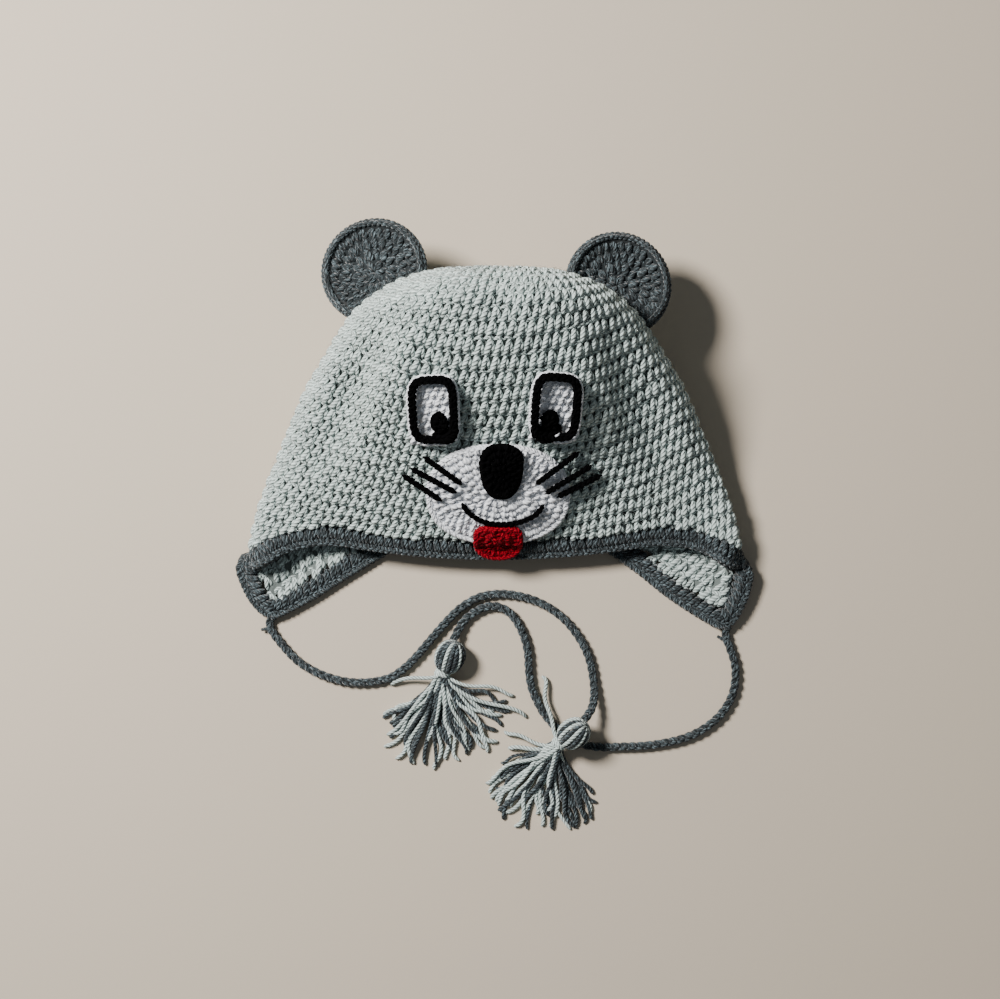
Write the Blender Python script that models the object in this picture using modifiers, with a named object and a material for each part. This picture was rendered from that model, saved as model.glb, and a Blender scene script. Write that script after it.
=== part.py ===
"""Crocheted baby hat with round ears, a face, ear flaps and tasselled ties.

The hat lies on its back: +Z points up out of the face, +Y to the top of the crown
and +X to the right of the face. The origin is on the table, in the middle of the hat
without its ties. All lengths are in metres.
"""
import math
from collections import namedtuple

import bmesh
import bpy
import numpy as np
from mathutils import Matrix, Vector
from mathutils.bvhtree import BVHTree

# Crown: the front edge of the light knitting to the top, half its width, and its height
HAT_LENGTH = 0.1123
HAT_HALF_WIDTH = 0.1045
HAT_HEIGHT = 0.0785
WALL = 0.0032
GAP = 0.0004
SEAM = 0.0007
EDGE_TO_ORIGIN = 0.0493

# Border round the rim and the flaps
BORDER_WIDTH = 0.0080
FLAP_BORDER_WIDTH = 0.0068
BORDER_THICKNESS = 0.0044
FLAP_DROP_LEFT = 0.0285
FLAP_DROP_RIGHT = 0.0332

# Ears
EAR_RADIUS = 0.0215
EAR_THICKNESS = 0.0040
EAR_EDGE_RADIUS = 0.0024
EAR_CUP = 0.0034
EAR_RISE = 0.0330
EAR_LEFT_AT = (-0.0500, 0.0636)
EAR_RIGHT_AT = (0.0511, 0.0580)
EAR_LEAN = math.radians(9)

# Face patches: half widths and half heights, and where their middles lie
MUZZLE_HALF = (0.0290, 0.0198)
MUZZLE_AT = (0.0013, -0.0291)
MUZZLE_THICKNESS = 0.0028
NOSE_HALF = (0.0104, 0.0116)
NOSE_AT = (0.0027, -0.0196)
NOSE_THICKNESS = 0.0024
EYE_HALF = (0.0102, 0.0136)
EYE_LEFT_AT = (-0.0248, 0.0049)
EYE_RIGHT_AT = (0.0246, 0.0059)
EYE_THICKNESS = 0.0016
EYE_OUTLINE_RADIUS = 0.0015
PUPIL_HALF = (0.0035, 0.0041)
PUPIL_THICKNESS = 0.0014
TONGUE_HALF_WIDTH = 0.0096
TONGUE_TOP = -0.0428
TONGUE_BOTTOM = -0.0558
TONGUE_THICKNESS = 0.0020
YARN_RADIUS = 0.0010

# How square each patch's outline is: 2 is an ellipse. The tongue's are its mouth end and tip
EYE_FULLNESS = 3.6
EYE_OUTLINE_FULLNESS = 3.4
PUPIL_FULLNESS = 2.2
MUZZLE_FULLNESS = 2.3
NOSE_FULLNESS = 2.4
TONGUE_FULLNESS = (5.0, 2.2)
NOSE_TAPER = 0.12

# A patch's rings, as shares of the way from its middle to its edge
PATCH_RINGS = (0.45, 0.88, 1.0)

# Ties and tassels
TIE_RADIUS = 0.0019
TASSEL_HEAD_RADIUS = 0.0060
TASSEL_HEAD_LENGTH = 0.0128
TASSEL_LENGTH = 0.0410
TASSEL_NECK_RADIUS = 0.0030
LOCK_RADIUS = 0.0023
LOCK_TAPER = (0.85, 1.0, 1.0, 0.97, 0.90, 0.75, 0.45)

# Rounds of the crown from rim to top. Along is a share of the way up; front, side and back
# are how far up the round lies there, as shares of the hat's length; half_width is a share
# of the half width, and top, middle and bottom are shares of the height.
Round = namedtuple("Round", "along front side back half_width top middle bottom")
ROUNDS = [
    Round(0.00, 0.000, 0.142, 0.107, 1.000, 0.217, 0.115, -0.010),
    Round(0.19, 0.205, 0.330, 0.330, 0.876, 0.410, 0.185, -0.015),
    Round(0.37, 0.410, 0.552, 0.543, 0.770, 0.640, 0.270, -0.015),
    Round(0.54, 0.610, 0.730, 0.721, 0.651, 0.835, 0.360, -0.010),
    Round(0.70, 0.793, 0.855, 0.846, 0.550, 0.965, 0.440, 0.000),
    Round(0.80, 0.890, 0.926, 0.926, 0.445, 1.000, 0.497, 0.038),
    Round(0.88, 0.955, 0.971, 0.975, 0.330, 0.935, 0.535, 0.153),
    Round(0.95, 0.990, 0.993, 0.997, 0.200, 0.800, 0.573, 0.331),
    Round(1.00, 1.000, 1.000, 1.000, 0.000, 0.599, 0.599, 0.599),
]
TOP_FULLNESS = 2.35
BACK_FULLNESS = 3.4
SIDE_ROLL = 0.0052
SIDE_ROLL_GROWTH = 2.2
CORNER_DROP = 0.151
CORNER_FROM = 0.60
CORNER_POWER = 1.9
CORNER_REACH = 0.22

# Folds of the soft crown. Across is a share of the half width there, along is as above,
# and depth is a share of the height: a valley is positive, a ridge is negative.
Fold = namedtuple("Fold", "across half_spread start end depth")
FOLDS = [
    Fold(-0.79, 0.17, 0.10, 0.72, 0.105),
    Fold(-0.56, 0.16, 0.15, 0.85, -0.030),
    Fold(0.75, 0.20, 0.08, 0.78, 0.090),
    Fold(0.52, 0.16, 0.20, 0.75, -0.022),
    Fold(0.04, 0.30, 0.62, 0.98, 0.030),
]

# Middle line of the border round a flap, from the corner of the rim round the tip to the
# back rim. Across is a share of the half width, down a share of the flap's drop below the
# front edge, and up the height of the band's middle as a share of the hat's height.
FlapEdge = namedtuple("FlapEdge", "across down up")
FLAP_EDGE_LEFT = [
    FlapEdge(-1.016, 0.30, 0.074),
    FlapEdge(-1.007, 0.54, 0.058),
    FlapEdge(-0.974, 0.79, 0.052),
    FlapEdge(-0.936, 0.955, 0.042),
    FlapEdge(-0.902, 1.00, 0.038),
    FlapEdge(-0.858, 0.92, 0.035),
    FlapEdge(-0.757, 0.72, 0.032),
    FlapEdge(-0.655, 0.48, 0.030),
    FlapEdge(-0.555, 0.24, 0.029),
    FlapEdge(-0.460, 0.03, 0.029),
    FlapEdge(-0.385, -0.17, 0.029),
]
FLAP_EDGE_RIGHT = [
    FlapEdge(1.012, 0.36, 0.074),
    FlapEdge(1.006, 0.60, 0.058),
    FlapEdge(0.980, 0.80, 0.052),
    FlapEdge(0.958, 0.93, 0.044),
    FlapEdge(0.934, 1.00, 0.038),
    FlapEdge(0.890, 0.93, 0.035),
    FlapEdge(0.800, 0.76, 0.032),
    FlapEdge(0.700, 0.54, 0.030),
    FlapEdge(0.615, 0.31, 0.029),
    FlapEdge(0.525, 0.10, 0.029),
    FlapEdge(0.430, -0.10, 0.029),
]
FRONT_SHARE = 0.255
BACK_BORDER_TO = 0.30
CORNER_SEAM = 0.0016
CORNER_SEAM_FROM = 0.90
CORNER_LEAN = 1.2
BAND_SQUARENESS = 0.6
BAND_SIDES = 8
BORDER_STEP = 0.0058

# Where a flap meets the crown's back rim, as shares of the half width, and its rows
FLAP_FROM = 0.860
FLAP_TO = 0.410
FLAP_ROWS = 6
FLAP_WALL = 0.0029

# Mouth and whiskers, as shares of the muzzle's half width and half height from its middle
MOUTH_POINTS = [(-0.52, -0.17), (-0.40, -0.40), (-0.20, -0.57), (0.05, -0.62),
                (0.30, -0.58), (0.53, -0.43), (0.65, -0.21)]
WHISKERS = {
    "whisker_left_1": ((-1.06, 0.79), (-0.51, 0.21)),
    "whisker_left_2": ((-1.25, 0.56), (-0.59, 0.04)),
    "whisker_left_3": ((-1.37, 0.42), (-0.80, -0.13)),
    "whisker_right_1": ((1.15, 0.89), (0.53, 0.21)),
    "whisker_right_2": ((1.34, 0.62), (0.67, 0.02)),
    "whisker_right_3": ((1.48, 0.42), (0.84, -0.05)),
}

# Routes of the ties, from the flap's tip to the tassel: across, up the hat, and the lift
# off the table
TIE_LEFT_ROUTE = [
    (-0.0960, -0.0814, 0), (-0.0965, -0.0850, 0), (-0.0948, -0.0886, 0), (-0.0900, -0.0946, 0),
    (-0.0845, -0.1002, 0), (-0.0776, -0.1045, 0), (-0.0703, -0.1075, 0), (-0.0622, -0.1092, 0),
    (-0.0536, -0.1092, 0), (-0.0455, -0.1075, 0), (-0.0399, -0.1041, 0), (-0.0343, -0.0989, 0),
    (-0.0277, -0.0912, 0), (-0.0210, -0.0835, 0), (-0.0146, -0.0773, 0), (-0.0067, -0.0728, 0),
    (0.0017, -0.0714, 0), (0.0098, -0.0722, 0), (0.0175, -0.0745, 0), (0.0248, -0.0784, 0),
    (0.0312, -0.0839, 0), (0.0366, -0.0912, 0), (0.0402, -0.0989, 0), (0.0420, -0.1075, 0),
    (0.0424, -0.1142, 0.0014), (0.0412, -0.1200, 0.0045), (0.0376, -0.1250, 0.0080),
]
TIE_RIGHT_ROUTE = [
    (0.0989, -0.0860, 0), (0.0990, -0.0900, 0), (0.1008, -0.0952, 0), (0.1028, -0.1019, 0),
    (0.1028, -0.1096, 0), (0.1007, -0.1169, 0), (0.0960, -0.1238, 0), (0.0891, -0.1294, 0),
    (0.0810, -0.1332, 0), (0.0720, -0.1354, 0), (0.0625, -0.1366, 0), (0.0535, -0.1369, 0),
    (0.0471, -0.1371, 0), (0.0407, -0.1366, 0), (0.0342, -0.1345, 0), (0.0278, -0.1302, 0),
    (0.0218, -0.1238, 0), (0.0183, -0.1180, 0), (0.0156, -0.1114, 0), (0.0145, -0.1041, 0),
    (0.0141, -0.0970, 0), (0.0124, -0.0898, 0), (0.0090, -0.0829, 0), (0.0047, -0.0784, 0),
    (-0.0009, -0.0766, 0), (-0.0067, -0.0781, 0), (-0.0120, -0.0817, 0),
    (-0.0155, -0.0864, 0.0008), (-0.0178, -0.0912, 0.0024),
]
Tassel = namedtuple("Tassel", "head neck head_up neck_up fan_from fan_to locks")
TASSEL_LEFT = Tassel((0.0334, -0.1303), (0.0281, -0.1343), 0.0108, 0.0078, 201, 302, 12)
TASSEL_RIGHT = Tassel((-0.0192, -0.0980), (-0.0222, -0.1046), 0.0064, 0.0044, 217, 338, 14)

# The crown's rings: points in each, how many, the topmost one and how they crowd to the top
AROUND = 52
ROWS_UP = 16
TOP_RING = 0.985
RING_CROWDING = 1.12
RIM_STEP = 0.03

# The hat's back lies on the table in three places, and a hair above it everywhere else.
# The higher the spread, the larger the flat part of that place.
RestPlace = namedtuple("RestPlace", "x y spread")
REST_PLACES = [RestPlace(-0.0600, -0.0365, 1.15), RestPlace(0.0600, -0.0365, 1.15),
               RestPlace(0.0, 0.0394, 2.2)]
REST_REACH = 0.0200
REST_LIFT = 0.0005
TABLE_CLEARANCE = 0.00045

COLOURS = {
    "light_yarn": (0.42, 0.47, 0.44),
    "dark_yarn": (0.075, 0.09, 0.095),
    "white_yarn": (0.78, 0.82, 0.87),
    "black_yarn": (0.006, 0.006, 0.008),
    "red_yarn": (0.42, 0.01, 0.02),
}


def clear_scene():
    """Remove every object, and the meshes and collections that they leave behind."""
    for scene_object in list(bpy.data.objects):
        bpy.data.objects.remove(scene_object, do_unlink=True)
    for collection in list(bpy.data.collections):
        bpy.data.collections.remove(collection)


def new_collection(name):
    """Make a collection in the scene."""
    collection = bpy.data.collections.new(name)
    bpy.context.scene.collection.children.link(collection)
    return collection


def yarn_material(name):
    """A plain woollen material in one of the yarn colours."""
    material = bpy.data.materials.get(name) or bpy.data.materials.new(name)
    material.use_nodes = True
    shader = material.node_tree.nodes["Principled BSDF"]
    shader.inputs["Base Color"].default_value = (*COLOURS[name], 1.0)
    shader.inputs["Roughness"].default_value = 0.9
    shader.inputs["Metallic"].default_value = 0.0
    return material


def mesh_object(name, vertices, faces, yarn, collection):
    """Make a mesh object from points and faces, with its faces pointing out."""
    mesh = bpy.data.meshes.new(name)
    mesh.from_pydata([tuple(point) for point in vertices], [], faces)
    built = bmesh.new()
    built.from_mesh(mesh)
    bmesh.ops.recalc_face_normals(built, faces=built.faces)
    built.to_mesh(mesh)
    built.free()
    mesh.shade_smooth()
    mesh.set_sharp_from_angle(angle=math.radians(50))
    mesh.materials.append(yarn_material(yarn))
    made = bpy.data.objects.new(name, mesh)
    collection.objects.link(made)
    return made


def smooth_rows(rows, position):
    """Read a table of rows at a position, on a smooth curve through the rows."""
    keys = [row[0] for row in rows]
    index = int(np.clip(np.searchsorted(keys, position, side="right") - 1, 0, len(rows) - 2))
    before, start, end, after = (np.array(rows[int(np.clip(index + step, 0, len(rows) - 1))][1:])
                                 for step in (-1, 0, 1, 2))
    span = keys[index + 1] - keys[index]
    left = keys[index] - keys[max(index - 1, 0)] or span
    right = keys[min(index + 2, len(rows) - 1)] - keys[index + 1] or span
    slope_start = (end - before) / (span + left) * span
    slope_end = (after - start) / (span + right) * span
    t = (position - keys[index]) / span
    return ((2 * t ** 3 - 3 * t ** 2 + 1) * start + (t ** 3 - 2 * t ** 2 + t) * slope_start
            + (3 * t ** 2 - 2 * t ** 3) * end + (t ** 3 - t ** 2) * slope_end)


def smooth_path(points, spacing, closed=False):
    """Points at an even spacing on a smooth curve through the given points."""
    points = np.array(points, dtype=float)
    count = len(points)
    dense = []
    for index in range(count if closed else count - 1):
        if closed:
            before, start, end, after = (points[(index + step) % count] for step in (-1, 0, 1, 2))
        else:
            before, start, end, after = (points[min(max(index + step, 0), count - 1)]
                                         for step in (-1, 0, 1, 2))
        for t in np.linspace(0, 1, 12, endpoint=False):
            dense.append(0.5 * (2 * start + (end - before) * t
                                + (2 * before - 5 * start + 4 * end - after) * t ** 2
                                + (3 * start - before - 3 * end + after) * t ** 3))
    dense.append(points[0] if closed else points[-1])
    dense = np.array(dense)
    steps_taken = np.linalg.norm(np.diff(dense[:, :3], axis=0), axis=1)
    travelled = np.concatenate([[0], np.cumsum(steps_taken)])
    steps = max(2, round(travelled[-1] / spacing))
    wanted = np.linspace(0, travelled[-1], steps + 1)
    if closed:
        wanted = wanted[:-1]
    return np.column_stack([np.interp(wanted, travelled, dense[:, axis])
                            for axis in range(dense.shape[1])])


def bump(offset):
    """A smooth hill that is 1 at zero and 0 from one outwards."""
    return np.cos(np.clip(np.abs(offset), 0, 1) * math.pi / 2) ** 2


def round_outline(along):
    """One closed round of the crown at a share of the way up, front middle first."""
    front, side, back, half_width, top, middle, bottom = smooth_rows(ROUNDS, along)
    angle = np.linspace(0, 2 * math.pi, 241)[:-1]
    upper = np.cos(angle) >= 0
    fullness = np.where(upper, TOP_FULLNESS, BACK_FULLNESS)
    across = np.sign(np.sin(angle)) * np.abs(np.sin(angle)) ** (2 / fullness)
    lift = np.abs(np.cos(angle)) ** (2 / fullness)
    height = np.where(upper, middle + (top - middle) * lift, middle - (middle - bottom) * lift)
    from_side = (1 - np.abs(across)) * half_width * HAT_HALF_WIDTH
    roll = SIDE_ROLL * min(1.0, SIDE_ROLL_GROWTH * half_width)
    rolled = np.sqrt(roll ** 2 - np.maximum(roll - from_side, 0) ** 2) / HAT_HEIGHT
    height = np.where(upper, np.maximum(height, middle + rolled),
                      np.minimum(height, middle - rolled))
    for fold in FOLDS:
        halfway = (fold.start + fold.end) / 2
        reach = (fold.end - fold.start) / 2
        pressed = fold.depth * bump((across - fold.across) / fold.half_spread)
        height = height - np.where(upper, pressed * bump((along - halfway) / reach) * lift, 0)
    upwards = np.where(upper, front + (side - front) * across ** 2,
                       side + (back - side) * (1 - across ** 2))
    corner = np.clip((np.abs(across) - CORNER_FROM) / (1 - CORNER_FROM), 0, 1) ** CORNER_POWER
    fade = max(0.0, 1 - along / CORNER_REACH) ** 2
    upwards = upwards - CORNER_DROP * corner * fade
    x = across * half_width * HAT_HALF_WIDTH
    y = upwards * HAT_LENGTH - EDGE_TO_ORIGIN
    touch = np.max([bump(np.hypot(x - place.x, y - place.y) / REST_REACH) * place.spread
                    for place in REST_PLACES], axis=0)
    lowest = REST_LIFT * (1 - np.minimum(touch, 1))
    return np.column_stack([x, y, np.maximum(height * HAT_HEIGHT, lowest)])


def crown_round(along, count):
    """Evenly spaced points round the crown, front middle first, turning to +X."""
    outline = round_outline(along)
    ring = np.vstack([outline, outline[:1]])
    travelled = np.concatenate([[0], np.cumsum(np.linalg.norm(np.diff(ring, axis=0), axis=1))])
    wanted = np.arange(count) / count * travelled[-1]
    return np.column_stack([np.interp(wanted, travelled, ring[:, axis]) for axis in range(3)])


def loft(rings, closed_along=False, start_cap=None, end_cap=None):
    """Join rings of equally many points with faces, and close the ends with a middle point."""
    count = len(rings[0])
    vertices = [point for ring in rings for point in ring]
    faces = []
    last = len(rings) if closed_along else len(rings) - 1
    for row in range(last):
        low, high = row * count, ((row + 1) % len(rings)) * count
        for step in range(count):
            after = (step + 1) % count
            faces.append((low + step, low + after, high + after, high + step))
    for cap, base in ((start_cap, 0), (end_cap, (len(rings) - 1) * count)):
        if cap is not None:
            vertices.append(cap)
            middle = len(vertices) - 1
            faces += [(base + step, base + (step + 1) % count, middle) for step in range(count)]
    return vertices, faces


def solidify(made, thickness, offset):
    """Give an open surface its thickness."""
    modifier = made.modifiers.new("wall", "SOLIDIFY")
    modifier.thickness = thickness
    modifier.offset = offset
    modifier.use_even_offset = True
    return modifier


def crown_rows():
    """Shares of the way up at which the crown's rounds are placed, close near the top."""
    return [TOP_RING * (1 - (1 - row / ROWS_UP) ** RING_CROWDING) for row in range(ROWS_UP + 1)]


def build_crown(collection):
    """The hollow knitted dome, open at the rim."""
    rings = [crown_round(along, AROUND) for along in crown_rows()]
    vertices, faces = loft(rings, end_cap=round_outline(1.0)[0])
    crown = mesh_object("crown", vertices, faces, "light_yarn", collection)
    solidify(crown, WALL, -1)
    return crown


def crown_solid(name, swell, collection):
    """The crown's outer form as one full solid, grown by a clearance, for cutting."""
    rings = [crown_round(along, AROUND) for along in crown_rows()]
    vertices, faces = loft(rings, start_cap=rings[0].mean(axis=0), end_cap=round_outline(1.0)[0])
    solid = mesh_object(name, vertices, faces, "light_yarn", collection)
    grow = solid.modifiers.new("clearance", "DISPLACE")
    grow.strength = swell
    grow.mid_level = 0
    solid.hide_render = True
    solid.display_type = "WIRE"
    return solid


def rim_frames():
    """For each point of the crown's rim: the point, the way past the edge and the way out."""
    rim = crown_round(0.0, AROUND)
    above = crown_round(RIM_STEP, AROUND)
    frames = []
    for index, point in enumerate(rim):
        round_way = rim[(index + 1) % AROUND] - rim[index - 1]
        outward = np.cross(point - above[index], round_way)
        past = np.cross(round_way, outward)
        frames.append((point, past / np.linalg.norm(past), outward / np.linalg.norm(outward)))
    return frames


def is_front(index):
    """Whether a rim point lies on the front layer."""
    return index <= AROUND * FRONT_SHARE or index >= AROUND * (1 - FRONT_SHARE)


def past_rim(frame, distance, thickness):
    """A place past the rim, in the middle of the wall."""
    point, past, outward = frame
    return point + past * distance - outward * thickness / 2


def flap_edge(table, drop):
    """Evenly spaced points on the middle line of the border round one flap."""
    return smooth_path([(row.across * HAT_HALF_WIDTH, -EDGE_TO_ORIGIN - row.down * drop,
                         row.up * HAT_HEIGHT) for row in table], BORDER_STEP)


def border_path():
    """The border's middle line and its upward way, and where each flap's stretch lies in it."""
    lying = np.array([0, 0, 1.0])
    distance = BORDER_WIDTH / 2 + SEAM
    frames = rim_frames()
    front, back = [], []
    for index in range(AROUND // 2, -AROUND // 2, -1):
        frame = frames[index % AROUND]
        across = frame[0][0] / HAT_HALF_WIDTH
        at_corner = max(0.0, (abs(across) - CORNER_SEAM_FROM) / (1 - CORNER_SEAM_FROM))
        middle = past_rim(frame, distance + CORNER_SEAM * at_corner, BORDER_THICKNESS)
        if is_front(index % AROUND):
            lean = frame[2] + lying * CORNER_LEAN * abs(across)
            front.append([*middle, *(lean / np.linalg.norm(lean))])
        elif abs(across) < BACK_BORDER_TO:
            back.append([*middle, *lying])
    back.sort(key=lambda row: row[0])
    left = [[*point, *lying] for point in flap_edge(FLAP_EDGE_LEFT, FLAP_DROP_LEFT)]
    right = [[*point, *lying] for point in flap_edge(FLAP_EDGE_RIGHT, FLAP_DROP_RIGHT)][::-1]
    path = np.array(front + left + back + right)
    left_at = range(len(front), len(front) + len(left))
    right_at = range(len(path) - 1, len(path) - 1 - len(right), -1)
    return path, {-1: left_at, 1: right_at}


def band_ways(path, index):
    """The border's sideways way, out of the hat's outline to the left, and its upward way."""
    ahead = path[(index + 1) % len(path)][:3] - path[index - 1][:3]
    sideways = np.cross(path[index][3:], ahead)
    up = np.cross(ahead, sideways)
    return sideways / np.linalg.norm(sideways), up / np.linalg.norm(up)


def build_border(collection):
    """The dark band, a rounded strip that lies along its middle line."""
    path, _ = border_path()
    rings = []
    for index, row in enumerate(path):
        point = row[:3]
        sideways, up = band_ways(path, index)
        on_flap = np.clip((-EDGE_TO_ORIGIN - BORDER_WIDTH - point[1]) / BORDER_WIDTH, 0, 1)
        width = BORDER_WIDTH + (FLAP_BORDER_WIDTH - BORDER_WIDTH) * on_flap
        ring = []
        for step in range(BAND_SIDES):
            angle = 2 * math.pi * (step + 0.5) / BAND_SIDES
            wide = math.copysign(abs(math.cos(angle)) ** BAND_SQUARENESS, math.cos(angle))
            high = math.copysign(abs(math.sin(angle)) ** BAND_SQUARENESS, math.sin(angle))
            ring.append(point + sideways * width / 2 * wide + up * BORDER_THICKNESS / 2 * high)
        rings.append(np.maximum(ring, [-1, -1, TABLE_CLEARANCE]))
    vertices, faces = loft(rings, closed_along=True)
    return mesh_object("rim_border", vertices, faces, "dark_yarn", collection)


def build_flap(name, side, collection):
    """A flap between the crown's back rim and the border round its edge."""
    path, stretches = border_path()
    base_line = [past_rim(frame, SEAM, WALL) for index, frame in enumerate(rim_frames())
                 if not is_front(index) and frame[0][0] * side > 0]
    base_line.sort(key=lambda point: abs(point[0]))
    base_across = [abs(point[0]) for point in base_line]
    stretch = stretches[side]
    surface = []
    for column, index in enumerate(stretch):
        share_along = column / (len(stretch) - 1)
        across = HAT_HALF_WIDTH * (FLAP_FROM + (FLAP_TO - FLAP_FROM) * share_along)
        base = np.array([np.interp(across, base_across, [point[axis] for point in base_line])
                         for axis in range(3)])
        sideways = band_ways(path, index)[0]
        low = path[index][:3]
        inward = sideways if sideways.dot(base - low) > 0 else -sideways
        low = low + inward * (BORDER_WIDTH / 2 + SEAM + GAP)
        for row in range(FLAP_ROWS):
            share = row / (FLAP_ROWS - 1)
            place = base + (low - base) * share
            place[2] = base[2] + (low[2] - base[2]) * share ** 3
            place[2] = max(place[2], WALL / 2 + TABLE_CLEARANCE)
            surface.append(place)
    faces = []
    for column in range(len(stretch) - 1):
        for row in range(FLAP_ROWS - 1):
            first = column * FLAP_ROWS + row
            faces.append((first, first + 1, first + FLAP_ROWS + 1, first + FLAP_ROWS))
    flap = mesh_object(name, surface, faces, "light_yarn", collection)
    solidify(flap, FLAP_WALL, 0)
    return flap


def build_ear(name, at, lean_side, collection, cutter):
    """A cupped disc with a rolled edge, cut to seat on the crown."""
    profile = [
        (0.0, EAR_THICKNESS / 2 - EAR_CUP),
        (0.45, EAR_THICKNESS / 2 - EAR_CUP * 0.85),
        (0.80, EAR_THICKNESS / 2 - EAR_CUP * 0.35),
    ]
    top = [(share * EAR_RADIUS, up) for share, up in profile]
    roll = EAR_RADIUS - EAR_EDGE_RADIUS
    for step in range(5):
        angle = math.radians(110 - 55 * step)
        top.append((roll + EAR_EDGE_RADIUS * math.cos(angle), EAR_EDGE_RADIUS * math.sin(angle)))
    under = [(share * EAR_RADIUS, up - EAR_THICKNESS) for share, up in reversed(profile)]
    points = top + under
    mesh = bpy.data.meshes.new(name)
    mesh.from_pydata([(radius, 0, up) for radius, up in points],
                     [(index, index + 1) for index in range(len(points) - 1)], [])
    mesh.materials.append(yarn_material("dark_yarn"))
    ear = bpy.data.objects.new(name, mesh)
    collection.objects.link(ear)
    turn = ear.modifiers.new("turned", "SCREW")
    turn.steps = turn.render_steps = 32
    turn.use_merge_vertices = True
    turn.merge_threshold = 0.00001
    turn.use_normal_calculate = True
    ear.location = (at[0], at[1], EAR_RISE)
    ear.rotation_euler = (-EAR_LEAN, lean_side * EAR_LEAN, 0)
    cut = ear.modifiers.new("seat", "BOOLEAN")
    cut.operation = "DIFFERENCE"
    cut.object = cutter
    return ear


def surface_tree(made):
    """A search tree of an object's evaluated mesh in world space."""
    evaluated = made.evaluated_get(bpy.context.evaluated_depsgraph_get())
    mesh = evaluated.to_mesh()
    points = [made.matrix_world @ vertex.co for vertex in mesh.vertices]
    faces = [tuple(polygon.vertices) for polygon in mesh.polygons]
    evaluated.to_mesh_clear()
    return BVHTree.FromPolygons(points, faces)


def drape(x, y, layers, spread=0.0012):
    """The height of the highest layer within a small spread of a place."""
    height = 0.0
    for ring, count in ((0.0, 1), (0.5, 6), (1.0, 8)):
        for step in range(count):
            angle = 2 * math.pi * step / count
            start = Vector((x + ring * spread * math.cos(angle),
                            y + ring * spread * math.sin(angle), 1.0))
            for layer in layers:
                hit = layer.ray_cast(start, Vector((0, 0, -1)))[0]
                if hit is not None:
                    height = max(height, hit.z)
    return height


def pillow(name, outline, layers, thickness, yarn, collection, edge=0.45):
    """A patch with a rounded edge, laid on the layers under it."""
    outline = np.array(outline)
    middle = outline.mean(axis=0)
    under = [np.array([(x, y, drape(x, y, layers) + GAP)
                       for x, y in middle + (outline - middle) * share]) for share in PATCH_RINGS]
    over = []
    for share, ring in zip(PATCH_RINGS, under):
        height = thickness * (edge + (1 - edge) * math.sqrt(max(0.0, 1 - share ** 4)))
        over.append(ring + np.array([0, 0, height]))
    low = np.array([*middle, drape(*middle, layers) + GAP])
    high = low + np.array([0, 0, thickness])
    vertices, faces = loft(under + over[::-1], start_cap=low, end_cap=high)
    return mesh_object(name, vertices, faces, yarn, collection)


def oval(at, half, fullness, count=32, turn=0.0):
    """A rounded outline in plan."""
    points = []
    for step in range(count):
        angle = 2 * math.pi * step / count
        x = half[0] * math.copysign(abs(math.cos(angle)) ** (2 / fullness), math.cos(angle))
        y = half[1] * math.copysign(abs(math.sin(angle)) ** (2 / fullness), math.sin(angle))
        points.append((at[0] + x * math.cos(turn) - y * math.sin(turn),
                       at[1] + x * math.sin(turn) + y * math.cos(turn)))
    return points


def nose_outline():
    """Wide at the top and narrow at the bottom."""
    points = []
    for x, y in oval(NOSE_AT, NOSE_HALF, NOSE_FULLNESS, 24):
        width = 1 - NOSE_TAPER * (1 - (y - NOSE_AT[1]) / NOSE_HALF[1])
        points.append((NOSE_AT[0] + (x - NOSE_AT[0]) * width, y))
    return points


def tongue_outline():
    """Straight at the mouth and round at the tip."""
    at = (MUZZLE_AT[0], (TONGUE_TOP + TONGUE_BOTTOM) / 2)
    half = (TONGUE_HALF_WIDTH, (TONGUE_TOP - TONGUE_BOTTOM) / 2)
    mouth_end, tip = (oval(at, half, fullness, 24) for fullness in TONGUE_FULLNESS)
    return [high if high[1] > at[1] else low for high, low in zip(mouth_end, tip)]


def tube(name, points, radius, yarn, collection, closed=False, sides=2, radii=None):
    """A round strand along a list of points, with its ends closed."""
    curve = bpy.data.curves.new(name, "CURVE")
    curve.dimensions = "3D"
    curve.bevel_depth = radius
    curve.bevel_resolution = sides
    curve.use_fill_caps = True
    spline = curve.splines.new("POLY")
    spline.points.add(len(points) - 1)
    for index, point in enumerate(points):
        spline.points[index].co = (*point, 1.0)
        spline.points[index].radius = radii[index] if radii is not None else 1.0
    spline.use_cyclic_u = closed
    curve.materials.append(yarn_material(yarn))
    made = bpy.data.objects.new(name, curve)
    collection.objects.link(made)
    return made


def pulled_taut(heights):
    """Raise evenly spaced heights to a line pulled tight over them."""
    taut = list(heights)
    for first in range(len(heights)):
        for last in range(first + 2, len(heights)):
            for between in range(first + 1, last):
                share = (between - first) / (last - first)
                bridge = heights[first] * (1 - share) + heights[last] * share
                taut[between] = max(taut[between], bridge)
    return taut


def yarn_line(name, plan, layers, collection, closed=False, radius=YARN_RADIUS, taut=False):
    """A strand sewn on the layers under it, along a line in plan."""
    path = smooth_path(plan, 0.0030, closed)
    heights = [drape(x, y, layers, radius * 1.3) for x, y in path]
    if taut:
        heights = pulled_taut(heights)
    points = [(x, y, height + GAP + radius) for (x, y), height in zip(path, heights)]
    return tube(name, points, radius, "black_yarn", collection, closed)


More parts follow.
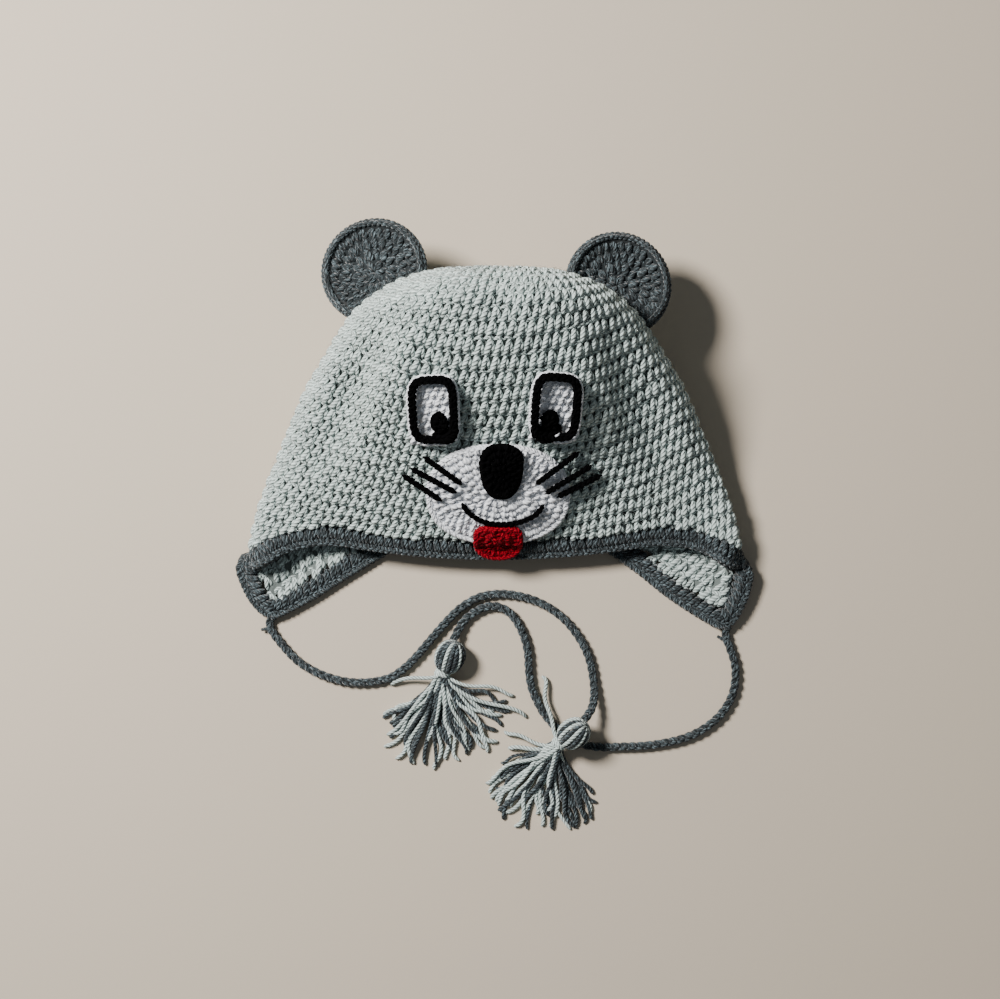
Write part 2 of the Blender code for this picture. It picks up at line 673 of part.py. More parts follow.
def build_eye(side_name, at, inward, turn, crown_tree, collection):
    """A white patch, a black outline on its edge and a pupil in the lower inner corner."""
    patch = pillow("eye_patch_" + side_name, oval(at, EYE_HALF, EYE_FULLNESS, 28, turn),
                   [crown_tree], EYE_THICKNESS, "white_yarn", collection, edge=0.6)
    bpy.context.view_layer.update()
    layers = [crown_tree, surface_tree(patch)]
    ring_half = (EYE_HALF[0] - 1.3 * EYE_OUTLINE_RADIUS, EYE_HALF[1] - 1.3 * EYE_OUTLINE_RADIUS)
    yarn_line("eye_outline_" + side_name, oval(at, ring_half, EYE_OUTLINE_FULLNESS, 20, turn),
              layers, collection, closed=True, radius=EYE_OUTLINE_RADIUS)
    margin = EYE_OUTLINE_RADIUS + 2 * GAP
    inside = (ring_half[0] - margin, ring_half[1] - margin)
    pupil_at = (at[0] + inward * (inside[0] - PUPIL_HALF[0] - GAP),
                at[1] - (inside[1] - PUPIL_HALF[1] - GAP))
    pillow("pupil_" + side_name, oval(pupil_at, PUPIL_HALF, PUPIL_FULLNESS, 16), layers,
           PUPIL_THICKNESS, "black_yarn", collection, edge=0.6)


def build_face(crown, border, collection):
    """Eyes, muzzle, nose, mouth, tongue and whiskers, each laid on what is under it."""
    crown_tree = surface_tree(crown)
    build_eye("left", EYE_LEFT_AT, 1, math.radians(2), crown_tree, collection)
    build_eye("right", EYE_RIGHT_AT, -1, math.radians(-4), crown_tree, collection)
    muzzle = pillow("muzzle", oval(MUZZLE_AT, MUZZLE_HALF, MUZZLE_FULLNESS, 40), [crown_tree],
                    MUZZLE_THICKNESS, "white_yarn", collection)
    bpy.context.view_layer.update()
    muzzle_tree = surface_tree(muzzle)
    layers = [crown_tree, muzzle_tree]
    pillow("nose", nose_outline(), layers, NOSE_THICKNESS, "black_yarn", collection)
    mouth = [(MUZZLE_AT[0] + x * MUZZLE_HALF[0], MUZZLE_AT[1] + y * MUZZLE_HALF[1])
             for x, y in MOUTH_POINTS]
    yarn_line("mouth_line", mouth, layers, collection)
    pillow("tongue", tongue_outline(), layers + [surface_tree(border)], TONGUE_THICKNESS,
           "red_yarn", collection, edge=0.6)
    for name, ends in WHISKERS.items():
        line = [(MUZZLE_AT[0] + x * MUZZLE_HALF[0], MUZZLE_AT[1] + y * MUZZLE_HALF[1])
                for x, y in ends]
        yarn_line(name, line, layers, collection, taut=True)


def build_tie(name, route, collection):
    """A plaited cord that lies on the table."""
    path = smooth_path(route, 2.3 * 2 * TIE_RADIUS)
    points = [(x, y, TIE_RADIUS + TABLE_CLEARANCE + max(lift, 0.0)) for x, y, lift in path]
    return tube(name, points, TIE_RADIUS, "dark_yarn", collection)


def as_mesh(made, collection):
    """Replace a curve by a closed mesh of the same shape, for joining."""
    bpy.context.view_layer.update()
    evaluated = made.evaluated_get(bpy.context.evaluated_depsgraph_get())
    mesh = bpy.data.meshes.new_from_object(evaluated)
    built = bmesh.new()
    built.from_mesh(mesh)
    bmesh.ops.remove_doubles(built, verts=built.verts, dist=0.00002)
    bmesh.ops.recalc_face_normals(built, faces=built.faces)
    built.to_mesh(mesh)
    built.free()
    name = made.name
    place = made.matrix_world.copy()
    bpy.data.objects.remove(made, do_unlink=True)
    converted = bpy.data.objects.new(name, mesh)
    converted.matrix_world = place
    collection.objects.link(converted)
    converted.hide_render = True
    converted.display_type = "WIRE"
    return converted


def build_tassel(name, tassel, parts, cutters):
    """A wound head and a fan of locks that fall to the table, fused into one body."""
    locks = bpy.data.collections.new(name + "_locks")
    cutters.children.link(locks)
    head = np.array([*tassel.head, tassel.head_up])
    neck = np.array([*tassel.neck, tassel.neck_up])
    for index in range(tassel.locks):
        share = index / (tassel.locks - 1)
        heading = math.radians(tassel.fan_from + (tassel.fan_to - tassel.fan_from) * share)
        length = TASSEL_LENGTH * (0.90 + 0.12 * math.sin(math.pi * share)
                                  + 0.05 * math.cos(2.7 * index))
        rest = LOCK_RADIUS * (0.90 + 0.22 * (index % 3)) + TABLE_CLEARANCE
        bend = math.radians(9) * math.sin(1.9 * index)
        points = []
        for t in np.linspace(0, 1, len(LOCK_TAPER)):
            turn = heading + bend * t
            drop = min(1.0, t / 0.45)
            up = neck[2] + (rest - neck[2]) * (3 * drop ** 2 - 2 * drop ** 3)
            points.append((neck[0] + math.cos(turn) * length * t,
                           neck[1] + math.sin(turn) * length * t, up))
        lock = tube(f"{name}_lock_{index}", points, LOCK_RADIUS, "dark_yarn", cutters,
                    sides=1, radii=LOCK_TAPER)
        as_mesh(lock, locks)
    axis = Vector(neck - head).normalized()
    neck_piece = tube(name + "_neck", [tuple(head), tuple(neck + 0.002 * np.array(axis))],
                      TASSEL_NECK_RADIUS, "dark_yarn", cutters, sides=2)
    as_mesh(neck_piece, locks)
    bpy.ops.mesh.primitive_uv_sphere_add(segments=12, ring_count=8, radius=TASSEL_HEAD_RADIUS)
    ball = bpy.context.object
    ball.name = name
    ball.data.name = name
    for collection in list(ball.users_collection):
        collection.objects.unlink(ball)
    parts.objects.link(ball)
    ball.data.transform(Matrix.Diagonal((1, 1, TASSEL_HEAD_LENGTH / 2 / TASSEL_HEAD_RADIUS, 1)))
    ball.data.materials.append(yarn_material("dark_yarn"))
    ball.data.shade_smooth()
    ball.location = tuple(head)
    ball.rotation_euler = axis.to_track_quat("Z", "Y").to_euler()
    return ball, locks


def fuse(ball, locks):
    """Join a tassel's head with all its locks into one body."""
    join = ball.modifiers.new("locks", "BOOLEAN")
    join.operation = "UNION"
    join.operand_type = "COLLECTION"
    join.collection = locks


def main():
    """Build the hat."""
    clear_scene()
    hat = new_collection("baby_hat")
    cutters = new_collection("cutters")
    crown = build_crown(hat)
    border = build_border(hat)
    build_flap("flap_left", -1, hat)
    build_flap("flap_right", 1, hat)
    seat = crown_solid("ear_seat_cutter", GAP, cutters)
    build_ear("ear_left", EAR_LEFT_AT, -1, hat, seat)
    build_ear("ear_right", EAR_RIGHT_AT, 1, hat, seat)
    bpy.context.view_layer.update()
    build_face(crown, border, hat)
    build_tie("tie_left", TIE_LEFT_ROUTE, hat)
    build_tie("tie_right", TIE_RIGHT_ROUTE, hat)
    tassels = [build_tassel("tassel_left", TASSEL_LEFT, hat, cutters),
               build_tassel("tassel_right", TASSEL_RIGHT, hat, cutters)]
    for ball, locks in tassels:
        fuse(ball, locks)


main()
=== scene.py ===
"""Looks of the crocheted baby hat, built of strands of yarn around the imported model.

Laid out as a Blender add-on and run as a script. +Z points up out of the face, +Y to the
top of the crown. Lengths are in metres.
"""

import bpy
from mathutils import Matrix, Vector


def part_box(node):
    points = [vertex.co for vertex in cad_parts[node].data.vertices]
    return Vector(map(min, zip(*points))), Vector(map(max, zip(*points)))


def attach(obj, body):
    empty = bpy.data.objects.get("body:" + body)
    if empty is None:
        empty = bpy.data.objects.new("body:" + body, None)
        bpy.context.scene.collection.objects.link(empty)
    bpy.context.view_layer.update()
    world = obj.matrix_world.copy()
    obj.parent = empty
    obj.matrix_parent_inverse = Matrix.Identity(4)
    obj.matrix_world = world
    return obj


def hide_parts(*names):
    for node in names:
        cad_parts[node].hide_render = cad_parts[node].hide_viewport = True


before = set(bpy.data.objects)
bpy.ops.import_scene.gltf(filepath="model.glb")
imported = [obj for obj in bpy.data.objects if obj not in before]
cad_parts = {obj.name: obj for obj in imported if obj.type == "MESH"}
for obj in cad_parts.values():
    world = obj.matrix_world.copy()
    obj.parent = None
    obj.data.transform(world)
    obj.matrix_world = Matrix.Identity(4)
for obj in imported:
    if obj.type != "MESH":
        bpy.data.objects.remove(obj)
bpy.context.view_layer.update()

import math
from collections import namedtuple

import bpy
import numpy as np
from mathutils import Euler, Vector
from mathutils.bvhtree import BVHTree

bl_info = {
    "name": "Crocheted baby hat",
    "version": (1, 0, 0),
    "blender": (4, 5, 0),
    "location": "3D View > Sidebar > Baby hat",
    "description": "Builds the yarn, the face and the ties of a crocheted baby hat",
    "category": "Add Mesh",
}

# The model's own sizes, repeated from the part
HAT_LENGTH = 0.1123
HAT_HALF_WIDTH = 0.1045
HAT_HEIGHT = 0.0785
GAP = 0.0004
SEAM = 0.0007
EDGE_TO_ORIGIN = 0.0493
BORDER_WIDTH = 0.0080
FLAP_BORDER_WIDTH = 0.0068
BORDER_THICKNESS = 0.0044
FLAP_DROP_LEFT = 0.0285
FLAP_DROP_RIGHT = 0.0332
EAR_RADIUS = 0.0215
EAR_THICKNESS = 0.0040
EAR_CUP = 0.0034
EAR_RISE = 0.0330
EAR_LEAN = math.radians(9)
EARS = {"ear_left": ((-0.0500, 0.0636), -1), "ear_right": ((0.0511, 0.0580), 1)}
MUZZLE_HALF = (0.0290, 0.0198)
MUZZLE_AT = (0.0013, -0.0291)
NOSE_HALF = (0.0104, 0.0116)
NOSE_AT = (0.0027, -0.0196)
EYE_HALF = (0.0102, 0.0136)
EYE_OUTLINE_RADIUS = 0.0015
EYES = {"left": ((-0.0248, 0.0049), 1, math.radians(2)),
        "right": ((0.0246, 0.0059), -1, math.radians(-4))}
PUPIL_HALF = (0.0035, 0.0041)
TONGUE_HALF_WIDTH = 0.0096
TONGUE_TOP = -0.0428
TONGUE_BOTTOM = -0.0558
YARN_RADIUS = 0.0010
TIE_RADIUS = 0.0019
TABLE_CLEARANCE = 0.00045

Round = namedtuple("Round", "along front side back half_width top middle bottom")
ROUNDS = [
    Round(0.00, 0.000, 0.142, 0.107, 1.000, 0.217, 0.115, -0.010),
    Round(0.19, 0.205, 0.330, 0.330, 0.876, 0.410, 0.185, -0.015),
    Round(0.37, 0.410, 0.552, 0.543, 0.770, 0.640, 0.270, -0.015),
    Round(0.54, 0.610, 0.730, 0.721, 0.651, 0.835, 0.360, -0.010),
    Round(0.70, 0.793, 0.855, 0.846, 0.550, 0.965, 0.440, 0.000),
    Round(0.80, 0.890, 0.926, 0.926, 0.445, 1.000, 0.497, 0.038),
    Round(0.88, 0.955, 0.971, 0.975, 0.330, 0.935, 0.535, 0.153),
    Round(0.95, 0.990, 0.993, 0.997, 0.200, 0.800, 0.573, 0.331),
    Round(1.00, 1.000, 1.000, 1.000, 0.000, 0.599, 0.599, 0.599),
]
TOP_FULLNESS = 2.35
BACK_FULLNESS = 3.4
SIDE_ROLL = 0.0052
SIDE_ROLL_GROWTH = 2.2
CORNER_DROP = 0.151
CORNER_FROM = 0.60
CORNER_POWER = 1.9
CORNER_REACH = 0.22
Fold = namedtuple("Fold", "across half_spread start end depth")
FOLDS = [
    Fold(-0.79, 0.17, 0.10, 0.72, 0.105),
    Fold(-0.56, 0.16, 0.15, 0.85, -0.030),
    Fold(0.75, 0.20, 0.08, 0.78, 0.090),
    Fold(0.52, 0.16, 0.20, 0.75, -0.022),
    Fold(0.04, 0.30, 0.62, 0.98, 0.030),
]
FlapEdge = namedtuple("FlapEdge", "across down up")
FLAP_EDGE_LEFT = [
    FlapEdge(-1.016, 0.30, 0.074), FlapEdge(-1.007, 0.54, 0.058), FlapEdge(-0.974, 0.79, 0.052),
    FlapEdge(-0.936, 0.955, 0.042), FlapEdge(-0.902, 1.00, 0.038), FlapEdge(-0.858, 0.92, 0.035),
    FlapEdge(-0.757, 0.72, 0.032), FlapEdge(-0.655, 0.48, 0.030), FlapEdge(-0.555, 0.24, 0.029),
    FlapEdge(-0.460, 0.03, 0.029), FlapEdge(-0.385, -0.17, 0.029),
]
FLAP_EDGE_RIGHT = [
    FlapEdge(1.012, 0.36, 0.074), FlapEdge(1.006, 0.60, 0.058), FlapEdge(0.980, 0.80, 0.052),
    FlapEdge(0.958, 0.93, 0.044), FlapEdge(0.934, 1.00, 0.038), FlapEdge(0.890, 0.93, 0.035),
    FlapEdge(0.800, 0.76, 0.032), FlapEdge(0.700, 0.54, 0.030), FlapEdge(0.615, 0.31, 0.029),
    FlapEdge(0.525, 0.10, 0.029), FlapEdge(0.430, -0.10, 0.029),
]
FRONT_SHARE = 0.255
BACK_BORDER_TO = 0.30
CORNER_SEAM = 0.0016
CORNER_SEAM_FROM = 0.90
CORNER_LEAN = 1.2
BORDER_STEP = 0.0058
AROUND = 52
CROWN_END = 0.9975
RIM_STEP = 0.03

MOUTH_POINTS = [(-0.52, -0.17), (-0.40, -0.40), (-0.20, -0.57), (0.05, -0.62),
                (0.30, -0.58), (0.53, -0.43), (0.65, -0.21)]
WHISKERS = {
    "whisker_left_1": ((-1.06, 0.79), (-0.51, 0.21)),
    "whisker_left_2": ((-1.25, 0.56), (-0.59, 0.04)),
    "whisker_left_3": ((-1.37, 0.42), (-0.80, -0.13)),
    "whisker_right_1": ((1.15, 0.89), (0.53, 0.21)),
    "whisker_right_2": ((1.34, 0.62), (0.67, 0.02)),
    "whisker_right_3": ((1.48, 0.42), (0.84, -0.05)),
}
TIE_LEFT_ROUTE = [
    (-0.0960, -0.0814, 0), (-0.0965, -0.0850, 0), (-0.0948, -0.0886, 0), (-0.0900, -0.0946, 0),
    (-0.0845, -0.1002, 0), (-0.0776, -0.1045, 0), (-0.0703, -0.1075, 0), (-0.0622, -0.1092, 0),
    (-0.0536, -0.1092, 0), (-0.0455, -0.1075, 0), (-0.0399, -0.1041, 0), (-0.0343, -0.0989, 0),
    (-0.0277, -0.0912, 0), (-0.0210, -0.0835, 0), (-0.0146, -0.0773, 0), (-0.0067, -0.0728, 0),
    (0.0017, -0.0714, 0), (0.0098, -0.0722, 0), (0.0175, -0.0745, 0), (0.0248, -0.0784, 0),
    (0.0312, -0.0839, 0), (0.0366, -0.0912, 0), (0.0402, -0.0989, 0), (0.0420, -0.1075, 0),
    (0.0424, -0.1142, 0.0014), (0.0412, -0.1200, 0.0045), (0.0376, -0.1250, 0.0080),
]
TIE_RIGHT_ROUTE = [
    (0.0989, -0.0860, 0), (0.0990, -0.0900, 0), (0.1008, -0.0952, 0), (0.1028, -0.1019, 0),
    (0.1028, -0.1096, 0), (0.1007, -0.1169, 0), (0.0960, -0.1238, 0), (0.0891, -0.1294, 0),
    (0.0810, -0.1332, 0), (0.0720, -0.1354, 0), (0.0625, -0.1366, 0), (0.0535, -0.1369, 0),
    (0.0471, -0.1371, 0), (0.0407, -0.1366, 0), (0.0342, -0.1345, 0), (0.0278, -0.1302, 0),
    (0.0218, -0.1238, 0), (0.0183, -0.1180, 0), (0.0156, -0.1114, 0), (0.0145, -0.1041, 0),
    (0.0141, -0.0970, 0), (0.0124, -0.0898, 0), (0.0090, -0.0829, 0), (0.0047, -0.0784, 0),
    (-0.0009, -0.0766, 0), (-0.0067, -0.0781, 0), (-0.0120, -0.0817, 0),
    (-0.0155, -0.0864, 0.0008), (-0.0178, -0.0912, 0.0024),
]

# No strand comes nearer to the table than this
LOWEST_YARN = 0.00005
UPWARD = np.array([0.0, 0.0, 1.0])

# One stitch as three strands. Across is a share of the stitch's width, up of its row's
# height, and out and thick are in radii of the yarn.
StrandPoint = namedtuple("StrandPoint", "across up out thick")
LEFT_LEG = [StrandPoint(0.22, 1.05, -1.50, 0.60), StrandPoint(0.14, 0.86, -0.50, 0.84),
            StrandPoint(0.02, 0.62, 0.05, 1.02), StrandPoint(-0.12, 0.36, 0.16, 1.16),
            StrandPoint(-0.24, 0.13, -0.12, 1.14), StrandPoint(-0.26, -0.06, -1.20, 0.82)]
RIGHT_LEG = [StrandPoint(0.02, 1.00, -1.40, 0.55), StrandPoint(0.16, 0.80, -0.50, 0.72),
             StrandPoint(0.30, 0.55, -0.16, 0.86), StrandPoint(0.36, 0.32, -0.18, 0.92),
             StrandPoint(0.32, 0.10, -1.05, 0.74)]
TOP_LOOP = [StrandPoint(-0.54, 0.84, -1.30, 0.55), StrandPoint(-0.32, 0.95, -0.56, 0.70),
            StrandPoint(-0.03, 1.02, -0.36, 0.76), StrandPoint(0.26, 0.96, -0.58, 0.70),
            StrandPoint(0.50, 0.86, -1.35, 0.55)]
STITCH = (LEFT_LEG, RIGHT_LEG, TOP_LOOP)
# The inside of the fabric shows the stitches' slanting bars
FIRST_BAR = [StrandPoint(-0.42, 1.00, -1.30, 0.60), StrandPoint(-0.30, 0.78, -0.20, 0.90),
             StrandPoint(-0.08, 0.50, 0.10, 1.02), StrandPoint(0.14, 0.22, -0.15, 0.92),
             StrandPoint(0.24, 0.00, -1.20, 0.65)]
SECOND_BAR = [StrandPoint(0.02, 1.02, -1.35, 0.55), StrandPoint(0.16, 0.80, -0.45, 0.78),
              StrandPoint(0.36, 0.52, -0.20, 0.86), StrandPoint(0.54, 0.24, -0.45, 0.78),
              StrandPoint(0.62, 0.04, -1.30, 0.55)]
INSIDE_STITCH = (FIRST_BAR, SECOND_BAR)
# How far the crown's rounds rise towards the sides, as a share of the way up, and the round
# that they are counted from
SIDE_RISE = 0.09
FIRST_ROUND = 0.30
# The border's strands across its band: a share of the way from the crown's side (-1) to the
# free edge (1), and a share of half the band's thickness
BorderPoint = namedtuple("BorderPoint", "side up thick")
BORDER_STRAND = [BorderPoint(-1.04, -0.10, 0.70), BorderPoint(-0.96, 0.42, 0.90),
                 BorderPoint(-0.66, 0.80, 1.04), BorderPoint(-0.28, 0.92, 1.08),
                 BorderPoint(0.08, 0.78, 1.00), BorderPoint(0.34, 0.40, 0.86),
                 BorderPoint(0.50, -0.10, 0.70)]

# The face is this high above the table, where the picture is FRAME_WIDTH wide
FACE_HEIGHT = 0.020
FRAME_WIDTH = 0.420
CAMERA_OVER = (0.0021, -0.0310)
SENSOR_WIDTH = 36.0
Lamp = namedtuple("Lamp", "name place size power colour")
LAMPS = [Lamp("key", (-0.60, 0.36, 0.80), 0.28, 26.0, "fffaf5"),
         Lamp("fill", (0.55, -0.35, 0.85), 0.9, 0.3, "eef3ff")]
LAMPS_AIM = (0.0, -0.01, 0.02)
ROOM_COLOUR = "dfe6ea"
ROOM_STRENGTH = 0.14
FLOOR_HALF = 3

# Ends of the tassels' strands in plan, and whether the strand is light
TasselEnd = namedtuple("TasselEnd", "x y light")
TASSEL_RIGHT_ENDS = [
    TasselEnd(-0.0470, -0.1230, 0), TasselEnd(-0.0480, -0.1330, 0), TasselEnd(-0.0430, -0.1435, 0),
    TasselEnd(-0.0320, -0.1460, 0), TasselEnd(-0.0236, -0.1460, 0), TasselEnd(-0.0170, -0.1440, 0),
    TasselEnd(-0.0110, -0.1410, 0), TasselEnd(-0.0020, -0.1375, 0), TasselEnd(0.0040, -0.1285, 0),
    TasselEnd(0.0100, -0.1210, 1),
]
TASSEL_RIGHT_TAILS = [TasselEnd(-0.0450, -0.1070, 1), TasselEnd(0.0137, -0.1234, 1),
                      TasselEnd(0.0085, -0.1126, 1)]
TASSEL_LEFT_ENDS = [
    TasselEnd(-0.0035, -0.1470, 1), TasselEnd(-0.0065, -0.1530, 1), TasselEnd(-0.0020, -0.1620, 0),
    TasselEnd(0.0060, -0.1690, 0), TasselEnd(0.0170, -0.1735, 0), TasselEnd(0.0280, -0.1750, 0),
    TasselEnd(0.0385, -0.1726, 0), TasselEnd(0.0450, -0.1660, 0),
]
TASSEL_LEFT_TAILS = [TasselEnd(0.0040, -0.1306, 1), TasselEnd(0.0220, -0.1065, 1),
                     TasselEnd(0.0060, -0.1390, 1)]
Tassel = namedtuple("Tassel",
                    "head neck head_up neck_up ends tails light_share light_lean light_every")
TASSELS = {
    "tassel_left": Tassel((0.0334, -0.1303), (0.0281, -0.1343), 0.0108, 0.0078,
                          TASSEL_LEFT_ENDS, TASSEL_LEFT_TAILS, 0.52, 0.28, 2),
    "tassel_right": Tassel((-0.0192, -0.0980), (-0.0222, -0.1046), 0.0064, 0.0044,
                           TASSEL_RIGHT_ENDS, TASSEL_RIGHT_TAILS, 0.42, 0.32, 3),
}
# The tassels' wound heads, the binding of their necks and their skirts
HEAD_STRANDS = 17
HEAD_RADIUS = 0.0052
HEAD_HALF_LENGTH = 0.0064
BINDING_TURNS = 3.2
BINDING_HALF_WIDTH = 0.0019
NECK_RADIUS = 0.0027
SKIRT_STRANDS = 48
SKIRT_START_RADIUS = 0.0021
PILE_HEIGHT = 0.0052

# Stitches finer than the hat's: height of a row, width of a stitch and the yarn's radius
Gauge = namedtuple("Gauge", "row width yarn")
NOSE_GAUGE = Gauge(0.0028, 0.0026, 0.00090)
EYE_GAUGE = Gauge(0.0036, 0.0031, 0.00100)
PUPIL_GAUGE = Gauge(0.0026, 0.0023, 0.00092)
TONGUE_GAUGE = Gauge(0.0030, 0.0024, 0.00082)
# Muzzle and ears: width of a stitch and the yarn's radius
PATCH_STITCH = (0.0034, 0.00104)
# Plaits and chains: half width, half depth, radius of a strand and length of one turn
MUZZLE_EDGE = (0.0006, 0.0004, 0.00090, 0.0074)
EYE_EDGE = (0.0004, 0.0003, 0.0007, 0.006)
EYE_CHAIN = (0.00090, 0.00050, 0.00098, 0.0078)
TONGUE_EDGE = (0.0006, 0.0003, 0.00082, 0.0062)
# The same without the length of a turn
TIE_PLAIT = (0.00098, 0.00052, 0.00094)
BORDER_CHAIN = (0.00118, 0.00050, 0.00094)
# The border's two chains: height as a share of its thickness, reach as a share of half its
# width, and length of one turn
BORDER_CHAINS = ((0.18, 0.70, 0.0072), (-0.42, 0.74, 0.0080))
# The two strands of each stitch of the border: steps along that it slants by, and its radius
BORDER_SLANTS = ((1.7, 0.00104), (0.7, 0.00084))
# How deep the crown's skins and inner stitches lie under its form
SKIN_DEPTH = 0.0019
LINING_DEPTH = 0.0029
INSIDE_DEPTH = 0.0023
# A crown's row narrower than this is left out
NARROWEST_ROW = 0.0022


def linear(code):
    """A hex sRGB colour as linear red, green and blue."""
    channels = [int(code[at:at + 2], 16) / 255 for at in (0, 2, 4)]
    return tuple(value / 12.92 if value <= 0.04045 else ((value + 0.055) / 1.055) ** 2.4
                 for value in channels)


def length_property(name, description, default):
    """A length that a user can change."""
    return bpy.props.FloatProperty(name=name, description=description, default=default,
                                   min=0.0, unit="LENGTH", subtype="DISTANCE", precision=5)


def colour_property(name, description, code):
    """A colour that a user can change."""
    return bpy.props.FloatVectorProperty(name=name, description=description,
                                         default=linear(code), size=3, min=0.0, max=1.0,
                                         subtype="COLOR")


class HatSizes(bpy.types.PropertyGroup):
    """Sizes of the yarn work."""

    stitch_width: length_property("Stitch width", "Width of a stitch of the crown", 0.00375)
    row_height: length_property("Row height", "Height of a round of the crown", 0.0059)
    yarn_radius: length_property("Yarn radius", "Radius of the hat's yarn", 0.00105)
    border_pitch: length_property("Border pitch", "Spacing of the border's stitches", 0.0034)
    ear_round: length_property("Ear round", "Height of a round of an ear", 0.0046)
    patch_round: length_property("Patch round", "Height of a round of the muzzle", 0.0034)
    plait_pitch: length_property("Plait pitch", "Length of one turn of the ties' plait", 0.0105)
    tassel_yarn: length_property("Tassel yarn", "Radius of the tassels' yarn", 0.00086)
    camera_height: length_property("Camera height", "Height of the camera above the table", 0.9)


class HatColours(bpy.types.PropertyGroup):
    """Colours of the yarns and the floor."""

    light: colour_property("Light yarn", "Crown, flaps and part of the tassels", "c8d9d6")
    dark: colour_property("Dark yarn", "Border, ears, ties and tassels", "293033")
    white: colour_property("White yarn", "Muzzle and eyes", "f3f8ff")
    black: colour_property("Black yarn", "Nose, pupils, outlines and whiskers", "020203")
    red: colour_property("Red yarn", "Tongue", "94021c")
    floor: colour_property("Floor", "The table under the hat", "c2b7a6")


def columns(*values):
    """Values side by side as rows of a table."""
    return np.column_stack(values)


def unit(vectors):
    """Vectors of length one."""
    return vectors / np.maximum(np.linalg.norm(vectors, axis=-1, keepdims=True), 1e-12)


def smooth_rows(rows, position):
    """Read a table of rows at a position, on a smooth curve through the rows."""
    keys = [row[0] for row in rows]
    index = int(np.clip(np.searchsorted(keys, position, side="right") - 1, 0, len(rows) - 2))
    before, start, end, after = (np.array(rows[int(np.clip(index + step, 0, len(rows) - 1))][1:])
                                 for step in (-1, 0, 1, 2))
    span = keys[index + 1] - keys[index]
    left = keys[index] - keys[max(index - 1, 0)] or span
    right = keys[min(index + 2, len(rows) - 1)] - keys[index + 1] or span
    slope_start = (end - before) / (span + left) * span
    slope_end = (after - start) / (span + right) * span
    t = (position - keys[index]) / span
    return ((2 * t ** 3 - 3 * t ** 2 + 1) * start + (t ** 3 - 2 * t ** 2 + t) * slope_start
            + (3 * t ** 2 - 2 * t ** 3) * end + (t ** 3 - t ** 2) * slope_end)


def resampled(rows, count):
    """A table read at evenly spread places on a smooth curve through its rows."""
    rows = np.array(rows, dtype=float)
    at = np.linspace(0, len(rows) - 1, count)
    index = np.minimum(at.astype(int), len(rows) - 2)
    t = (at - index)[:, None]
    before, start, end, after = (rows[np.clip(index + step, 0, len(rows) - 1)]
                                 for step in (-1, 0, 1, 2))
    return 0.5 * (2 * start + (end - before) * t
                  + (2 * before - 5 * start + 4 * end - after) * t ** 2
                  + (3 * start - before - 3 * end + after) * t ** 3)


def smooth_path(points, spacing, closed=False):
    """Points at an even spacing on a smooth curve through the given points."""
    points = np.array(points, dtype=float)
    if closed:
        points = np.vstack([points[-1:], points, points[:2]])
        dense = resampled(points, (len(points) - 1) * 12 + 1)[12:-12]
    else:
        dense = resampled(points, (len(points) - 1) * 12 + 1)
    travelled = np.concatenate([[0], np.cumsum(np.linalg.norm(np.diff(dense[:, :3], axis=0),
                                                              axis=1))])
    steps = max(2, round(travelled[-1] / spacing))
    wanted = np.linspace(0, travelled[-1], steps + 1)
    if closed:
        wanted = wanted[:-1]
    return columns(*(np.interp(wanted, travelled, dense[:, axis])
                     for axis in range(dense.shape[1])))


def bump(offset):
    """A smooth hill that is 1 at zero and 0 from one outwards."""
    return np.cos(np.clip(np.abs(offset), 0, 1) * math.pi / 2) ** 2


def round_outline(along):
    """One closed round of the crown at a share of the way up, front middle first."""
    front, side, back, half_width, top, middle, bottom = smooth_rows(ROUNDS, along)
    angle = np.linspace(0, 2 * math.pi, 241)[:-1]
    upper = np.cos(angle) >= 0
    fullness = np.where(upper, TOP_FULLNESS, BACK_FULLNESS)
    across = np.sign(np.sin(angle)) * np.abs(np.sin(angle)) ** (2 / fullness)
    lift = np.abs(np.cos(angle)) ** (2 / fullness)
    height = np.where(upper, middle + (top - middle) * lift, middle - (middle - bottom) * lift)
    from_side = (1 - np.abs(across)) * half_width * HAT_HALF_WIDTH
    roll = SIDE_ROLL * min(1.0, SIDE_ROLL_GROWTH * half_width)
    rolled = np.sqrt(roll ** 2 - np.maximum(roll - from_side, 0) ** 2) / HAT_HEIGHT
    height = np.where(upper, np.maximum(height, middle + rolled),
                      np.minimum(height, middle - rolled))
    for fold in FOLDS:
        halfway = (fold.start + fold.end) / 2
        reach = (fold.end - fold.start) / 2
        pressed = fold.depth * bump((across - fold.across) / fold.half_spread)
        height = height - np.where(upper, pressed * bump((along - halfway) / reach) * lift, 0)
    upwards = np.where(upper, front + (side - front) * across ** 2,
                       side + (back - side) * (1 - across ** 2))
    corner = np.clip((np.abs(across) - CORNER_FROM) / (1 - CORNER_FROM), 0, 1) ** CORNER_POWER
    fade = max(0.0, 1 - along / CORNER_REACH) ** 2
    upwards = upwards - CORNER_DROP * corner * fade
    return columns(across * half_width * HAT_HALF_WIDTH, upwards * HAT_LENGTH - EDGE_TO_ORIGIN,
                   np.maximum(height * HAT_HEIGHT, 0.0))


def crown_round(along, count):
    """Evenly spaced points round the crown, front middle first, turning to +X."""
    outline = round_outline(along)
    ring = np.vstack([outline, outline[:1]])
    travelled = np.concatenate([[0], np.cumsum(np.linalg.norm(np.diff(ring, axis=0), axis=1))])
    wanted = np.arange(count) / count * travelled[-1]
    return columns(*(np.interp(wanted, travelled, ring[:, axis]) for axis in range(3)))


def running_mean(values, width, closed):
    """Values along a path, each made the mean of those around it."""
    padded = np.pad(values, width // 2, mode="wrap" if closed else "edge")
    return np.convolve(padded, np.ones(width) / width, mode="valid")


